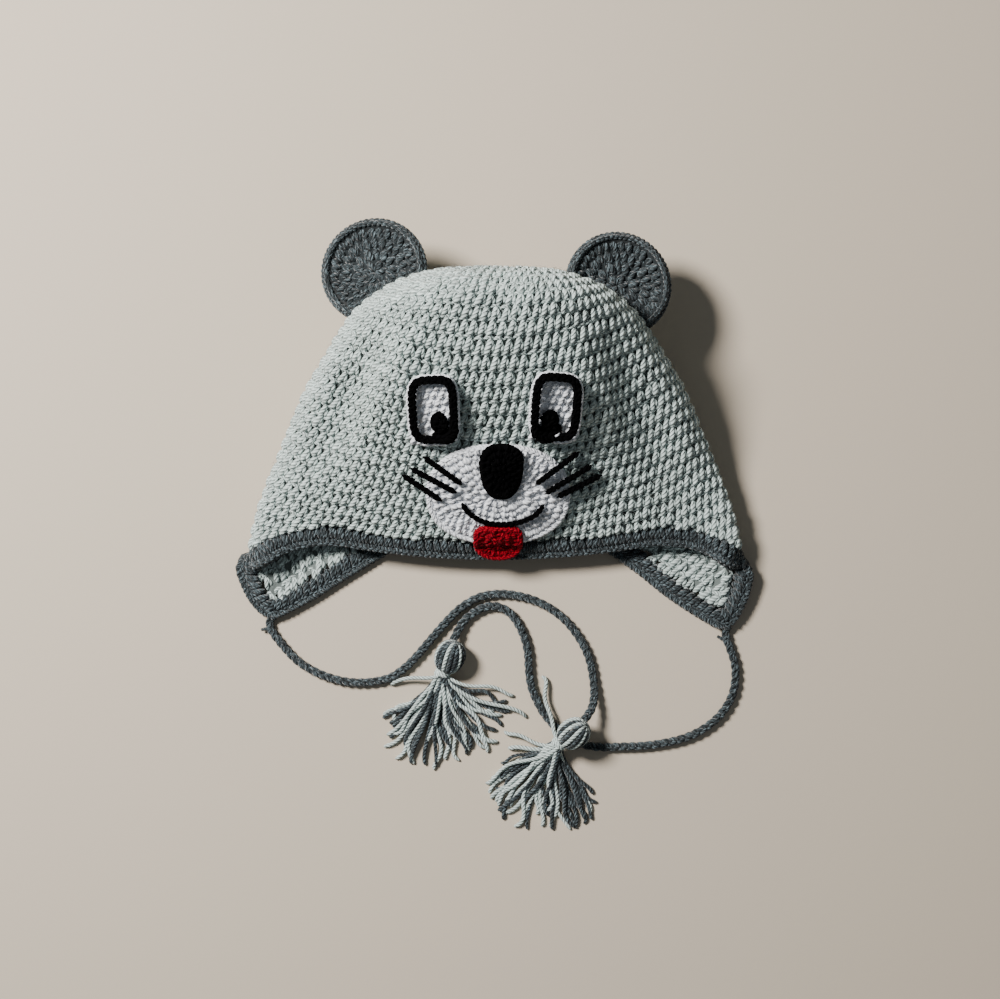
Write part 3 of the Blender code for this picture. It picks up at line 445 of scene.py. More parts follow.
def add_object(name, data):
    """A new object in the scene."""
    made = bpy.data.objects.new(name, data)
    bpy.context.scene.collection.objects.link(made)
    return made


class Surface:
    """A grid of points that can be read anywhere: along its rows and around each row."""

    def __init__(self, grid, closed, flip=False, shares=None):
        self.grid = np.array(grid, dtype=float)
        self.closed = closed
        self.shares = np.linspace(0, 1, len(self.grid)) if shares is None else shares
        if closed:
            around = np.roll(self.grid, -1, axis=1) - np.roll(self.grid, 1, axis=1)
        else:
            around = np.gradient(self.grid, axis=1)
        out = unit(np.cross(around, np.gradient(self.grid, axis=0)))
        self.out = -out if flip else out

    def at(self, along, around):
        """Points and outward ways at shares of the way along and around."""
        rows, steps = self.grid.shape[:2]
        along, around = np.broadcast_arrays(along, around)
        row = np.interp(along, self.shares, np.arange(rows))
        step = (around % 1.0) * steps if self.closed else np.clip(around, 0, 1) * (steps - 1)
        row_low = np.minimum(row.astype(int), rows - 2)
        step_low = np.minimum(step.astype(int), steps - 1 if self.closed else steps - 2)
        row_part, step_part = (row - row_low)[..., None], (step - step_low)[..., None]
        step_high = (step_low + 1) % steps
        found = []
        for values in (self.grid, self.out):
            low = (values[row_low, step_low] * (1 - step_part)
                   + values[row_low, step_high] * step_part)
            high = (values[row_low + 1, step_low] * (1 - step_part)
                    + values[row_low + 1, step_high] * step_part)
            found.append(low * (1 - row_part) + high * row_part)
        return found[0], unit(found[1])

    def even_lines(self, height):
        """Lines that part the surface into rows of about one height."""
        steps = np.linalg.norm(np.diff(self.grid, axis=0), axis=2).mean(axis=1)
        travelled = np.concatenate([[0], np.cumsum(steps)])
        rows = max(1, round(travelled[-1] / height))
        shares = np.interp(np.linspace(0, travelled[-1], rows + 1), travelled, self.shares)
        return [np.full(self.grid.shape[1], share) for share in shares]

    def along_line(self, line, around):
        """Where a line runs, at shares of the way around."""
        if self.closed:
            places = np.arange(len(line) + 1) / len(line)
            return np.interp(around % 1.0, places, np.append(line, line[0]))
        return np.interp(around, np.linspace(0, 1, len(line)), line)


class Yarn:
    """Collects strands and skins into the mesh of one piece."""

    def __init__(self, seed=1):
        self.points, self.quads, self.twists, self.tints = [], [], [], []
        self.count = 0
        self.random = np.random.default_rng(seed)

    def add_quads(self, points, quads, twists, tints):
        """Keep points, faces, the yarn coordinates of their corners and the points' tints."""
        self.points.append(points.reshape(-1, 3))
        self.quads.append(quads.reshape(-1, 4) + self.count)
        self.twists.append(twists.reshape(-1, 4, 2))
        self.tints.append(tints.reshape(-1))
        self.count += len(self.points[-1])

    def strands(self, paths, radii, out, sides=6, closed=False, tint=None):
        """Round strands along many paths at once. Out is a way across each path."""
        paths = np.array(paths, dtype=float)
        count, length = paths.shape[:2]
        radii = np.broadcast_to(radii, (count, length))
        out = np.broadcast_to(out, paths.shape)
        if closed:
            ahead = np.roll(paths, -1, axis=1) - np.roll(paths, 1, axis=1)
        else:
            ahead = np.gradient(paths, axis=1)
        ahead = unit(ahead)
        side = unit(np.cross(ahead, out))
        up = np.cross(side, ahead)
        turn = np.arange(sides) / sides * 2 * math.pi
        points = (paths[:, :, None] + radii[:, :, None, None]
                  * (np.cos(turn)[:, None] * side[:, :, None]
                     + np.sin(turn)[:, None] * up[:, :, None]))
        legs = length if closed else length - 1
        strand, leg, edge = np.meshgrid(np.arange(count), np.arange(legs), np.arange(sides),
                                        indexing="ij")
        next_leg, next_edge = (leg + 1) % length, (edge + 1) % sides

        def place(leg_at, edge_at):
            return (strand * length + leg_at) * sides + edge_at

        quads = np.stack([place(leg, edge), place(next_leg, edge), place(next_leg, next_edge),
                          place(leg, next_edge)], axis=-1)
        moved = np.linalg.norm(np.diff(paths, axis=1, append=paths[:, :1]), axis=2)
        start = self.random.uniform(0, 50, (count, 1))
        far = np.concatenate([start, start + np.cumsum(moved, axis=1) * 1000], axis=1)
        near_far, next_far = far[strand, leg], far[strand, leg + 1]
        near_round, next_round = edge / sides, (edge + 1) / sides
        twists = np.stack([np.stack([near_round, near_far], -1), np.stack([near_round, next_far], -1),
                           np.stack([next_round, next_far], -1), np.stack([next_round, near_far], -1)],
                          axis=-2)
        if tint is None:
            tint = self.random.uniform(0, 1, count)
        tints = np.broadcast_to(np.asarray(tint, float)[:, None, None], (count, length, sides))
        self.add_quads(points, quads, twists, tints)

    def skin(self, grid, closed, tint=0.5, flip=False):
        """A plain skin through a grid of points."""
        rows, steps = grid.shape[:2]
        wide = steps if closed else steps - 1
        row, step = np.meshgrid(np.arange(rows - 1), np.arange(wide), indexing="ij")
        after = (step + 1) % steps
        quads = np.stack([row * steps + step, row * steps + after, (row + 1) * steps + after,
                          (row + 1) * steps + step], axis=-1)
        if flip:
            quads = quads[..., ::-1]
        corners = np.stack([np.stack([step, row], -1), np.stack([step + 1, row], -1),
                            np.stack([step + 1, row + 1], -1), np.stack([step, row + 1], -1)],
                           axis=-2).astype(float)
        self.add_quads(grid, quads, corners * 0.7, np.full(rows * steps, tint))

    def crochet(self, surface, lines, width, thickness, stitch=STITCH, slant=0.3, lift=0.0,
                keep=None, part=None, sides=6, steps=8, wobble=1.0, least=0.0):
        """Rows of stitches over a surface. Thickness is the yarn's radius."""
        for row, (low, high) in enumerate(zip(lines[:-1], lines[1:])):
            random = np.random.default_rng(900 + row)
            middle = (low + high) / 2
            places = np.linspace(0, 1, 200)
            ring = surface.at(surface.along_line(middle, places), places)[0]
            length = np.linalg.norm(np.diff(ring, axis=0), axis=1).sum()
            count = max(5, round(length / width))
            shift = row * slant if surface.closed else 0.5 + 0.5 * (row % 2 - 0.5)
            places = (np.arange(count) + shift) / count % 1.0
            tint = random.uniform(0, 1, count)
            size = random.normal(1, 0.08 * wobble, (count, 1))
            shove = random.normal(0, 0.055 * wobble, (4, count, 1))
            ends = [surface.at(surface.along_line(line, places), places)[0] for line in (low, high)]
            chosen = np.linalg.norm(ends[1] - ends[0], axis=1) > least
            if part is not None:
                chosen &= (places >= part[0]) & (places < part[1])
            if keep is not None and chosen.any():
                height = surface.along_line(middle, places[chosen])
                chosen[chosen] = keep(surface.at(height, places[chosen])[0])
            if not chosen.any():
                continue
            places, tint, size, shove = places[chosen], tint[chosen], size[chosen], shove[:, chosen]
            for strand in stitch:
                table = resampled(strand, steps)
                across = (places[:, None]
                          + (table[:, 0] + shove[0] + shove[3] * (table[:, 1] - 0.5)) / count)
                bottom = surface.along_line(low, across)
                top = surface.along_line(high, across)
                points, out = surface.at(bottom + (table[:, 1] + shove[1]) * (top - bottom), across)
                risen = (table[:, 2] + 2 * shove[2]) * thickness + lift
                self.strands(points + out * risen[..., None], table[:, 3] * thickness * size, out,
                             sides=sides, tint=tint)

    def fuzz(self, surface, count, length, lift, low=0.0, high=1.0):
        """Fine loose fibres that stand off a surface."""
        along = self.random.uniform(low, high, count)
        around = self.random.uniform(0, 1, count)
        points, out = surface.at(along, around)
        turn = self.random.uniform(0, 2 * math.pi, count)
        side = unit(np.cross(out, np.array([0.31, 0.17, 0.93])))
        way = (side * np.cos(turn)[:, None] + np.cross(out, side) * np.sin(turn)[:, None])
        bend = unit(np.cross(way, out)) * self.random.normal(0, 0.45, (count, 1))
        reach = self.random.uniform(0.4, 1.0, (count, 1)) * length
        rise = self.random.uniform(0.2, 1.0, (count, 1)) * length
        t = np.linspace(0, 1, 4)[None, :, None]
        paths = (points[:, None] + out[:, None] * lift
                 + way[:, None] * (reach[:, None] * t) + bend[:, None] * (reach[:, None] * t ** 2)
                 + out[:, None] * (rise[:, None] * (1.7 * t - 1.1 * t ** 2)))
        radii = np.tile(np.array([1.0, 1.0, 0.8, 0.35]) * 0.00005, (count, 1))
        self.strands(paths, radii, np.broadcast_to(out[:, None], paths.shape), sides=3)

    def plait(self, path, up, half_width, half_depth, radius, pitch, closed=False, plies=3,
              sides=6, ends=0.0):
        """Strands plaited along a path. Ends is the length over which they draw together."""
        if closed:
            ahead = np.roll(path, -1, axis=0) - np.roll(path, 1, axis=0)
            steps = np.linalg.norm(np.diff(path, axis=0, append=path[:1]), axis=1)
        else:
            ahead = np.gradient(path, axis=0)
            steps = np.linalg.norm(np.diff(path, axis=0), axis=1)
        side = unit(np.cross(unit(ahead), up))
        out = np.cross(side, unit(ahead))
        travelled = np.concatenate([[0], np.cumsum(steps)])
        total = travelled[-1]
        travelled = travelled[:len(path)]
        turns = max(1, round(total / pitch))
        narrow = np.ones(len(path))
        if ends:
            narrow = np.clip(np.minimum(travelled, total - travelled) / ends, 0.25, 1)
        paths = []
        for ply in range(plies):
            phase = 2 * math.pi * (travelled / total * turns + ply / plies)
            paths.append(path + side * (half_width * narrow * np.sin(phase))[:, None]
                         + out * (half_depth * narrow * np.sin(2 * phase))[:, None])
        radii = np.tile(radius * (0.55 + 0.45 * narrow), (plies, 1))
        self.strands(paths, radii, np.tile(out, (plies, 1, 1)), sides=sides, closed=closed)

    def twisted(self, path, up, radius, plies=2, pitch=0.0048, sides=6, taper=0.0):
        """A strand of plies that turn round one another."""
        ahead = unit(np.gradient(path, axis=0))
        side = unit(np.cross(ahead, up))
        out = np.cross(side, ahead)
        steps = np.linalg.norm(np.diff(path, axis=0), axis=1)
        travelled = np.concatenate([[0], np.cumsum(steps)])
        narrow = np.ones(len(path))
        if taper:
            narrow = np.clip(np.minimum(travelled, travelled[-1] - travelled) / taper, 0.3, 1)
        paths = []
        for ply in range(plies):
            phase = 2 * math.pi * (travelled / pitch + ply / plies)
            swing = (0.42 * radius * narrow)[:, None]
            paths.append(path + swing * (side * np.cos(phase)[:, None] + out * np.sin(phase)[:, None]))
        self.strands(paths, np.tile(0.62 * radius * narrow, (plies, 1)),
                     np.tile(out, (plies, 1, 1)), sides=sides)

    def build(self, name, material, slot, replaced):
        """Make the piece, which stands for the model's nodes of the same place."""
        points = np.vstack(self.points)
        points[:, 2] = np.maximum(points[:, 2], LOWEST_YARN)
        quads = np.vstack(self.quads)
        mesh = bpy.data.meshes.new(name)
        mesh.vertices.add(len(points))
        mesh.vertices.foreach_set("co", points.ravel())
        mesh.loops.add(quads.size)
        mesh.loops.foreach_set("vertex_index", quads.ravel().astype(np.int32))
        mesh.polygons.add(len(quads))
        mesh.polygons.foreach_set("loop_start", np.arange(0, quads.size, 4, dtype=np.int32))
        mesh.polygons.foreach_set("use_smooth", np.ones(len(quads), dtype=bool))
        mesh.update(calc_edges=True)
        layer = mesh.uv_layers.new(name="twist")
        layer.data.foreach_set("uv", np.vstack(self.twists).ravel())
        tint = mesh.attributes.new("tint", "FLOAT", "POINT")
        tint.data.foreach_set("value", np.concatenate(self.tints))
        mesh.materials.append(material)
        piece = add_object(name, mesh)
        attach(piece, "root")
        if replaced:
            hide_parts(*replaced)
        return piece


def add_node(tree, kind, inputs=None, **settings):
    """Add a node with its settings, and values or links for its inputs."""
    made = tree.nodes.new(kind)
    for name, value in settings.items():
        setattr(made, name, value)
    for name, value in (inputs or {}).items():
        if isinstance(value, bpy.types.NodeSocket):
            tree.links.new(value, made.inputs[name])
        else:
            made.inputs[name].default_value = value
    return made


def blank_material(name):
    """A material without nodes, and its empty tree."""
    material = bpy.data.materials.new(name)
    material.use_nodes = True
    material.node_tree.nodes.clear()
    return material, material.node_tree


# Strands of a worsted yarn: its plies show as slanting ridges about this far apart
PLY_SPACING_MM = 1.7
PLIES = 3


def spun_yarn(name, colour, painted_groove_shade, fleck_and_highlight, fleck_and_highlight_share, relief=1.0, sheen=0.25, shine=0.25):
    """Spun and plied yarn: slanting ridges of its plies, fine fibres and a soft sheen. The grooves between
    the plies are darkened as painted shade.
    """
    existing = bpy.data.materials.get(name)
    if existing:
        return existing
    material, tree = blank_material(name)
    twist = add_node(tree, "ShaderNodeUVMap", uv_map="twist")
    place = add_node(tree, "ShaderNodeSeparateXYZ", {"Vector": twist.outputs["UV"]})
    length = add_node(tree, "ShaderNodeMath", {0: place.outputs["Y"], 1: 1 / PLY_SPACING_MM},
                      operation="MULTIPLY")
    phase = add_node(tree, "ShaderNodeMath",
                     {0: place.outputs["X"], 1: PLIES, 2: length.outputs[0]},
                     operation="MULTIPLY_ADD")
    turn = add_node(tree, "ShaderNodeMath", {0: phase.outputs[0], 1: 2 * math.pi},
                    operation="MULTIPLY")
    wave = add_node(tree, "ShaderNodeMath", {0: turn.outputs[0]}, operation="SINE")
    ridge = add_node(tree, "ShaderNodeMapRange",
                     {"Value": wave.outputs[0], "From Min": -1.0, "From Max": 0.6})
    tint = add_node(tree, "ShaderNodeAttribute", attribute_name="tint")
    # Fibres: streaks that follow the plies, about 0.25 mm wide and 3 mm long
    fibre_place = add_node(tree, "ShaderNodeCombineXYZ",
                           {"X": phase.outputs[0], "Y": length.outputs[0],
                            "Z": tint.outputs["Fac"]})
    stretched = add_node(tree, "ShaderNodeVectorMath",
                         {0: fibre_place.outputs[0], 1: (4.5, 0.9, 40.0)}, operation="MULTIPLY")
    fibres = add_node(tree, "ShaderNodeTexNoise",
                      {"Vector": stretched.outputs[0], "Scale": 1.0, "Detail": 3.0,
                       "Roughness": 0.62})
    # Flecks: lighter fibres, real in the heather yarn; on the light yarn they are brightened as painted
    # highlight
    fleck_and_highlight_mask = add_node(tree, "ShaderNodeMapRange",
                      {"Value": fibres.outputs["Fac"], "From Min": 0.66 - 0.3 * fleck_and_highlight_share,
                       "From Max": 0.80 - 0.3 * fleck_and_highlight_share})
    # Painted shade: the colour is darkened in the grooves between the plies, where shade falls
    ridges_and_painted_grooves = add_node(tree, "ShaderNodeMix",
                            {"Factor": ridge.outputs["Result"], "A": (*painted_groove_shade, 1),
                             "B": (*colour, 1)}, data_type="RGBA")
    # Mixes in the flecks, which on the light yarn are partly painted highlight
    flecked = add_node(tree, "ShaderNodeMix",
                       {"Factor": fleck_and_highlight_mask.outputs["Result"], "A": ridges_and_painted_grooves.outputs["Result"],
                        "B": (*fleck_and_highlight, 1)}, data_type="RGBA")
    evened = add_node(tree, "ShaderNodeMapRange",
                      {"Value": tint.outputs["Fac"], "To Min": 0.90, "To Max": 1.08})
    toned = add_node(tree, "ShaderNodeVectorMath",
                     {0: flecked.outputs["Result"], "Scale": evened.outputs["Result"]},
                     operation="SCALE")
    fine = add_node(tree, "ShaderNodeMath",
                    {0: fibres.outputs["Fac"], 1: 0.55, 2: ridge.outputs["Result"]},
                    operation="MULTIPLY_ADD")
    relief_node = add_node(tree, "ShaderNodeBump",
                           {"Height": fine.outputs[0], "Strength": relief, "Distance": 0.00034})
    shader = add_node(tree, "ShaderNodeBsdfPrincipled",
                      {"Base Color": toned.outputs[0], "Roughness": 0.92, "IOR": 1.5,
                       "Specular IOR Level": shine, "Sheen Weight": sheen,
                       "Sheen Roughness": 0.45, "Normal": relief_node.outputs["Normal"]})
    add_node(tree, "ShaderNodeOutputMaterial", {"Surface": shader.outputs["BSDF"]})
    return material


def painted_board(colour):
    """Matt painted board: even and pale, with the faint mottle of a rolled coat."""
    material, tree = blank_material("painted_board")
    place = add_node(tree, "ShaderNodeTexCoord")
    mottle = add_node(tree, "ShaderNodeTexNoise",
                      {"Vector": place.outputs["Object"], "Scale": 220.0, "Detail": 2.0})
    grain = add_node(tree, "ShaderNodeBump",
                     {"Height": mottle.outputs["Fac"], "Strength": 0.08, "Distance": 0.0004})
    shader = add_node(tree, "ShaderNodeBsdfPrincipled",
                      {"Base Color": (*colour, 1), "Roughness": 0.8,
                       "Normal": grain.outputs["Normal"]})
    add_node(tree, "ShaderNodeOutputMaterial", {"Surface": shader.outputs["BSDF"]})
    return material


def scaled(colour, factor):
    """A colour made lighter or darker."""
    return tuple(min(1.0, channel * factor) for channel in colour)


def light_yarn():
    """Pale acrylic yarn: grey-green, matt, with soft bright ridges over painted shade in the grooves; its
    bright flecks are partly fibre tone and partly painted highlight.
    """
    colour = bpy.context.scene.hat_colours.light
    # Painted highlight: the light yarn's flecks are half again as light as the yarn
    return spun_yarn("light_acrylic_yarn", colour, scaled(colour, 0.42), scaled(colour, 1.5), 0.40)


def painted_shade_light_yarn():
    """The same yarn darkened as painted shade, for deep between the stitches, where little light comes."""
    colour = bpy.context.scene.hat_colours.light
    return spun_yarn("light_acrylic_yarn_painted_shade", scaled(colour, 0.30), scaled(colour, 0.16),
                     scaled(colour, 0.45), 0.3)


def dark_yarn():
    """Heather charcoal yarn: dark fibres with pale ones spun in, so it looks flecked."""
    colour = bpy.context.scene.hat_colours.dark
    return spun_yarn("charcoal_heather_yarn", colour, scaled(colour, 0.28), scaled(colour, 7.5),
                     0.50)


def white_yarn():
    """White acrylic yarn: cool, soft and nearly even."""
    colour = bpy.context.scene.hat_colours.white
    return spun_yarn("white_acrylic_yarn", colour, scaled(colour, 0.70), scaled(colour, 1.1), 0.3,
                     relief=0.8)


def black_yarn():
    """Black acrylic yarn: deep black with a faint grey bloom on its fibres."""
    colour = bpy.context.scene.hat_colours.black
    return spun_yarn("black_acrylic_yarn", colour, scaled(colour, 0.4), scaled(colour, 3.0), 0.3,
                     sheen=0.0, shine=0.05)


def red_yarn():
    """Red acrylic yarn: saturated, with painted shade between its ridges."""
    colour = bpy.context.scene.hat_colours.red
    return spun_yarn("red_acrylic_yarn", colour, scaled(colour, 0.40), scaled(colour, 1.5), 0.3,
                     sheen=0.02, shine=0.1)


def rim_frames():
    """For each point of the crown's rim: the point, the way past the edge and the way out."""
    rim = crown_round(0.0, AROUND)
    above = crown_round(RIM_STEP, AROUND)
    frames = []
    for index, point in enumerate(rim):
        round_way = rim[(index + 1) % AROUND] - rim[index - 1]
        outward = np.cross(point - above[index], round_way)
        frames.append((point, unit(np.cross(round_way, outward)), unit(outward)))
    return frames


def flap_edge(table, drop):
    """Evenly spaced points on the middle line of the border round one flap."""
    return smooth_path([(row.across * HAT_HALF_WIDTH, -EDGE_TO_ORIGIN - row.down * drop,
                         row.up * HAT_HEIGHT) for row in table], BORDER_STEP)


def border_path():
    """The border's middle line: place, upward way, and 1 on the front layer or -1 elsewhere."""
    distance = BORDER_WIDTH / 2 + SEAM
    frames = rim_frames()
    front, back = [], []
    for index in range(AROUND // 2, -AROUND // 2, -1):
        point, past, outward = frames[index % AROUND]
        across = point[0] / HAT_HALF_WIDTH
        at_corner = max(0.0, (abs(across) - CORNER_SEAM_FROM) / (1 - CORNER_SEAM_FROM))
        middle = (point + past * (distance + CORNER_SEAM * at_corner)
                  - outward * BORDER_THICKNESS / 2)
        place = index % AROUND
        if place <= AROUND * FRONT_SHARE or place >= AROUND * (1 - FRONT_SHARE):
            front.append([*middle, *unit(outward + UPWARD * CORNER_LEAN * abs(across)), 1.0])
        elif abs(across) < BACK_BORDER_TO:
            back.append([*middle, *UPWARD, -1.0])
    back.sort(key=lambda row: row[0])
    left = [[*point, *UPWARD, -1.0] for point in flap_edge(FLAP_EDGE_LEFT, FLAP_DROP_LEFT)]
    right = [[*point, *UPWARD, -1.0] for point in flap_edge(FLAP_EDGE_RIGHT, FLAP_DROP_RIGHT)]
    return np.array(front + left + back + right[::-1])


def node_tree_of(name):
    """A search tree of one of the model's nodes."""
    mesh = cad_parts[name].data
    return BVHTree.FromPolygons([vertex.co for vertex in mesh.vertices],
                                [tuple(polygon.vertices) for polygon in mesh.polygons])


def top_of(tree, x, y, level=0.05):
    """The height of a node's upper side at a place in plan, or of its part nearest a level."""
    hit = tree.ray_cast(Vector((x, y, 1.0)), Vector((0, 0, -1)))[0]
    return (hit or tree.find_nearest(Vector((x, y, level)))[0]).z


def laid(tree, plan, rise=0.0, level=0.05):
    """Points in plan laid on a node's upper side, or a little above or below it."""
    return np.array([(x, y, top_of(tree, x, y, level) + rise) for x, y in plan[:, :2]])


def draped(tree, plan, level=0.05):
    """A grid of points in plan laid on a node's upper side."""
    return np.array([laid(tree, row, 0.0, level) for row in plan])


def near(tree, reach):
    """A test of which points lie near a node's surface."""
    def test(points):
        return np.array([tree.find_nearest(Vector(point))[3] < reach for point in points],
                        dtype=bool)
    return test


def oval(at, half, fullness, count=96, turn=0.0):
    """A rounded outline in plan."""
    angle = np.arange(count) / count * 2 * math.pi
    x = half[0] * np.sign(np.cos(angle)) * np.abs(np.cos(angle)) ** (2 / fullness)
    y = half[1] * np.sign(np.sin(angle)) * np.abs(np.sin(angle)) ** (2 / fullness)
    return columns(at[0] + x * math.cos(turn) - y * math.sin(turn),
                   at[1] + x * math.sin(turn) + y * math.cos(turn))


def rounds_surface(name, outline, inner=0.03, outer=0.97, rows=14):
    """Rounds from the middle of a node out to its outline, on its upper side."""
    middle = outline.mean(axis=0)
    shares = np.linspace(inner, outer, rows)[:, None, None]
    plan = middle + (outline - middle) * shares
    return Surface(draped(node_tree_of(name), plan), closed=True, flip=True)


class HatOperator:
    """What all the operators share."""

    bl_options = {"REGISTER", "UNDO"}


class HAT_OT_stage(HatOperator, bpy.types.Operator):
    """Lay a plain pale floor, soft studio light and the camera above the hat."""

    bl_idname = "hat.stage"
    bl_label = "Stage"

    def execute(self, context):
        sizes, colours = context.scene.hat_sizes, context.scene.hat_colours
        camera_data = bpy.data.cameras.new("camera")
        camera_data.sensor_width = SENSOR_WIDTH
        camera_data.lens = SENSOR_WIDTH * (sizes.camera_height - FACE_HEIGHT) / FRAME_WIDTH
        camera = add_object("camera", camera_data)
        camera.location = (*CAMERA_OVER, sizes.camera_height)
        context.scene.camera = camera
        for lamp in LAMPS:
            data = bpy.data.lights.new(lamp.name, "AREA")
            data.shape = "DISK"
            data.size = lamp.size
            data.energy = lamp.power
            data.color = linear(lamp.colour)
            shining = add_object(lamp.name, data)
            shining.location = lamp.place
            way = Vector(LAMPS_AIM) - Vector(lamp.place)
            shining.rotation_euler = way.to_track_quat("-Z", "Y").to_euler()
        world = bpy.data.worlds.new("studio")
        world.use_nodes = True
        background = world.node_tree.nodes["Background"]
        background.inputs["Color"].default_value = (*linear(ROOM_COLOUR), 1)
        background.inputs["Strength"].default_value = ROOM_STRENGTH
        context.scene.world = world
        mesh = bpy.data.meshes.new("floor")
        mesh.from_pydata([(x * FLOOR_HALF, y * FLOOR_HALF, 0)
                          for x, y in ((-1, -1), (1, -1), (1, 1), (-1, 1))], [], [(0, 1, 2, 3)])
        mesh.materials.append(painted_board(colours.floor))
        floor = add_object("floor", mesh)
        return {"FINISHED"}


def tie_path(route, spacing):
    """The middle line of a tie, lying on the table."""
    path = smooth_path(route, spacing)
    path[:, 2] = TIE_RADIUS + TABLE_CLEARANCE + np.maximum(path[:, 2], 0)
    return path


class HAT_OT_tassels(HatOperator, bpy.types.Operator):
    """Wind the tassels' heads and lay their strands on the table."""

    bl_idname = "hat.tassels"
    bl_label = "Tassels"

    def execute(self, context):
        radius = context.scene.hat_sizes.tassel_yarn
        for order, (name, tassel) in enumerate(TASSELS.items()):
            light, dark = Yarn(31 + order), Yarn(41 + order)
            random = np.random.default_rng(51 + order)
            head = np.array([*tassel.head, tassel.head_up])
            neck = np.array([*tassel.neck, tassel.neck_up])
            axis = unit(neck - head)
            side = unit(np.cross(axis, UPWARD))
            up = np.cross(side, axis)
            self.wind_head(light, dark, head, neck, axis, side, up, radius, tassel)
            self.lay_skirt(light, dark, neck, axis, side, up, radius, tassel, random)
            light.build(name + "_light_strands", light_yarn(), "light_yarn", [name])
            dark.build(name + "_dark_strands", dark_yarn(), "dark_yarn", [name])
        return {"FINISHED"}

    def wind_head(self, light, dark, head, neck, axis, side, up, radius, tassel):
        """Strands from pole to pole of the head, and the binding round its neck."""
        for index in range(HEAD_STRANDS):
            turn = 2 * math.pi * index / HEAD_STRANDS
            swirl = np.linspace(0, 0.5, 15)
            reach = np.linspace(0, math.pi, 15)
            around = turn + swirl
            wide = HEAD_RADIUS * np.sin(reach) ** 0.8 + 0.0006
            path = (head - axis * HEAD_HALF_LENGTH * np.cos(reach)[:, None]
                    + (side * np.cos(around)[:, None] + up * np.sin(around)[:, None])
                    * wide[:, None])
            out = path - head
            yarn = light if index % tassel.light_every == 0 else dark
            yarn.strands([path], [np.full(15, radius * 1.08)], [unit(out)], sides=6)
        turns = np.linspace(0, 2 * math.pi * BINDING_TURNS, 64)
        lift = np.linspace(-BINDING_HALF_WIDTH, BINDING_HALF_WIDTH, 64)
        ring = (neck + axis * lift[:, None]
                + (side * np.cos(turns)[:, None] + up * np.sin(turns)[:, None])
                * NECK_RADIUS)
        light.strands([ring], [np.full(64, radius * 0.95)], [unit(ring - neck)], sides=6)

    def lay_skirt(self, light, dark, neck, axis, side, up, radius, tassel, random):
        """A fan of wavy strands from the neck to their ends on the table."""
        ends = np.array([(end.x, end.y) for end in tassel.ends])
        strands = []
        for index in range(SKIRT_STRANDS):
            place = (index + random.uniform(-0.35, 0.35)) / (SKIRT_STRANDS - 1)
            share = place * (len(ends) - 1)
            share = float(np.clip(share, 0, len(ends) - 1))
            low = min(int(share), len(ends) - 2)
            tip = ends[low] + (ends[low + 1] - ends[low]) * (share - low)
            reach = random.uniform(0.72, 1.0) if index % 3 else random.uniform(0.92, 1.03)
            tip = neck[:2] + (tip - neck[:2]) * reach
            lean = tassel.light_lean * (1 - 2 * index / (SKIRT_STRANDS - 1))
            is_light = random.uniform() < tassel.light_share + lean
            strands.append((tip, is_light, random.uniform(0.0, 1.0)))
        for tail in tassel.tails:
            strands.append((np.array([tail.x, tail.y]), True, 1.0))
        steps = 22
        t = np.linspace(0, 1, steps)
        for tip, is_light, layer in strands:
            start_turn = random.uniform(0, 2 * math.pi)
            spread = SKIRT_START_RADIUS * math.sqrt(random.uniform(0.05, 1))
            start = neck + (side * math.cos(start_turn) + up * math.sin(start_turn)) * spread
            plan = tip - start[:2]
            length = np.linalg.norm(plan)
            across = np.array([-plan[1], plan[0]]) / length
            leave = axis[:2] * 0.35 * length
            curve = (start[:2] + np.outer(3 * t * (1 - t) ** 2, leave) * 0.6
                     + np.outer(3 * t ** 2 - 2 * t ** 3, plan) * 0.5 + np.outer(t, plan) * 0.5)
            waves = random.uniform(0.8, 1.9)
            phase = random.uniform(0, 2 * math.pi)
            swing = random.uniform(0.0008, 0.0027) * np.sin(2 * math.pi * waves * t + phase) * t
            hook = random.normal(0, 0.0022) * t ** 3
            curve = curve + np.outer(swing + hook, across)
            piled = PILE_HEIGHT * layer * (1 - t) ** 0.7 * np.minimum(1, 4 * t)
            pile = radius + LOWEST_YARN + piled
            fall = np.clip(t / 0.42, 0, 1)
            fall = 3 * fall ** 2 - 2 * fall ** 3
            height = start[2] * (1 - fall) + pile * fall
            height = np.maximum(height, radius + LOWEST_YARN)
            path = columns(curve, height)
            thick = radius * random.uniform(0.85, 1.12)
            radii = np.full(steps, thick)
            radii[-1] = thick * 0.55
            yarn = light if is_light else dark
            yarn.strands([path], [radii], UPWARD, sides=6)


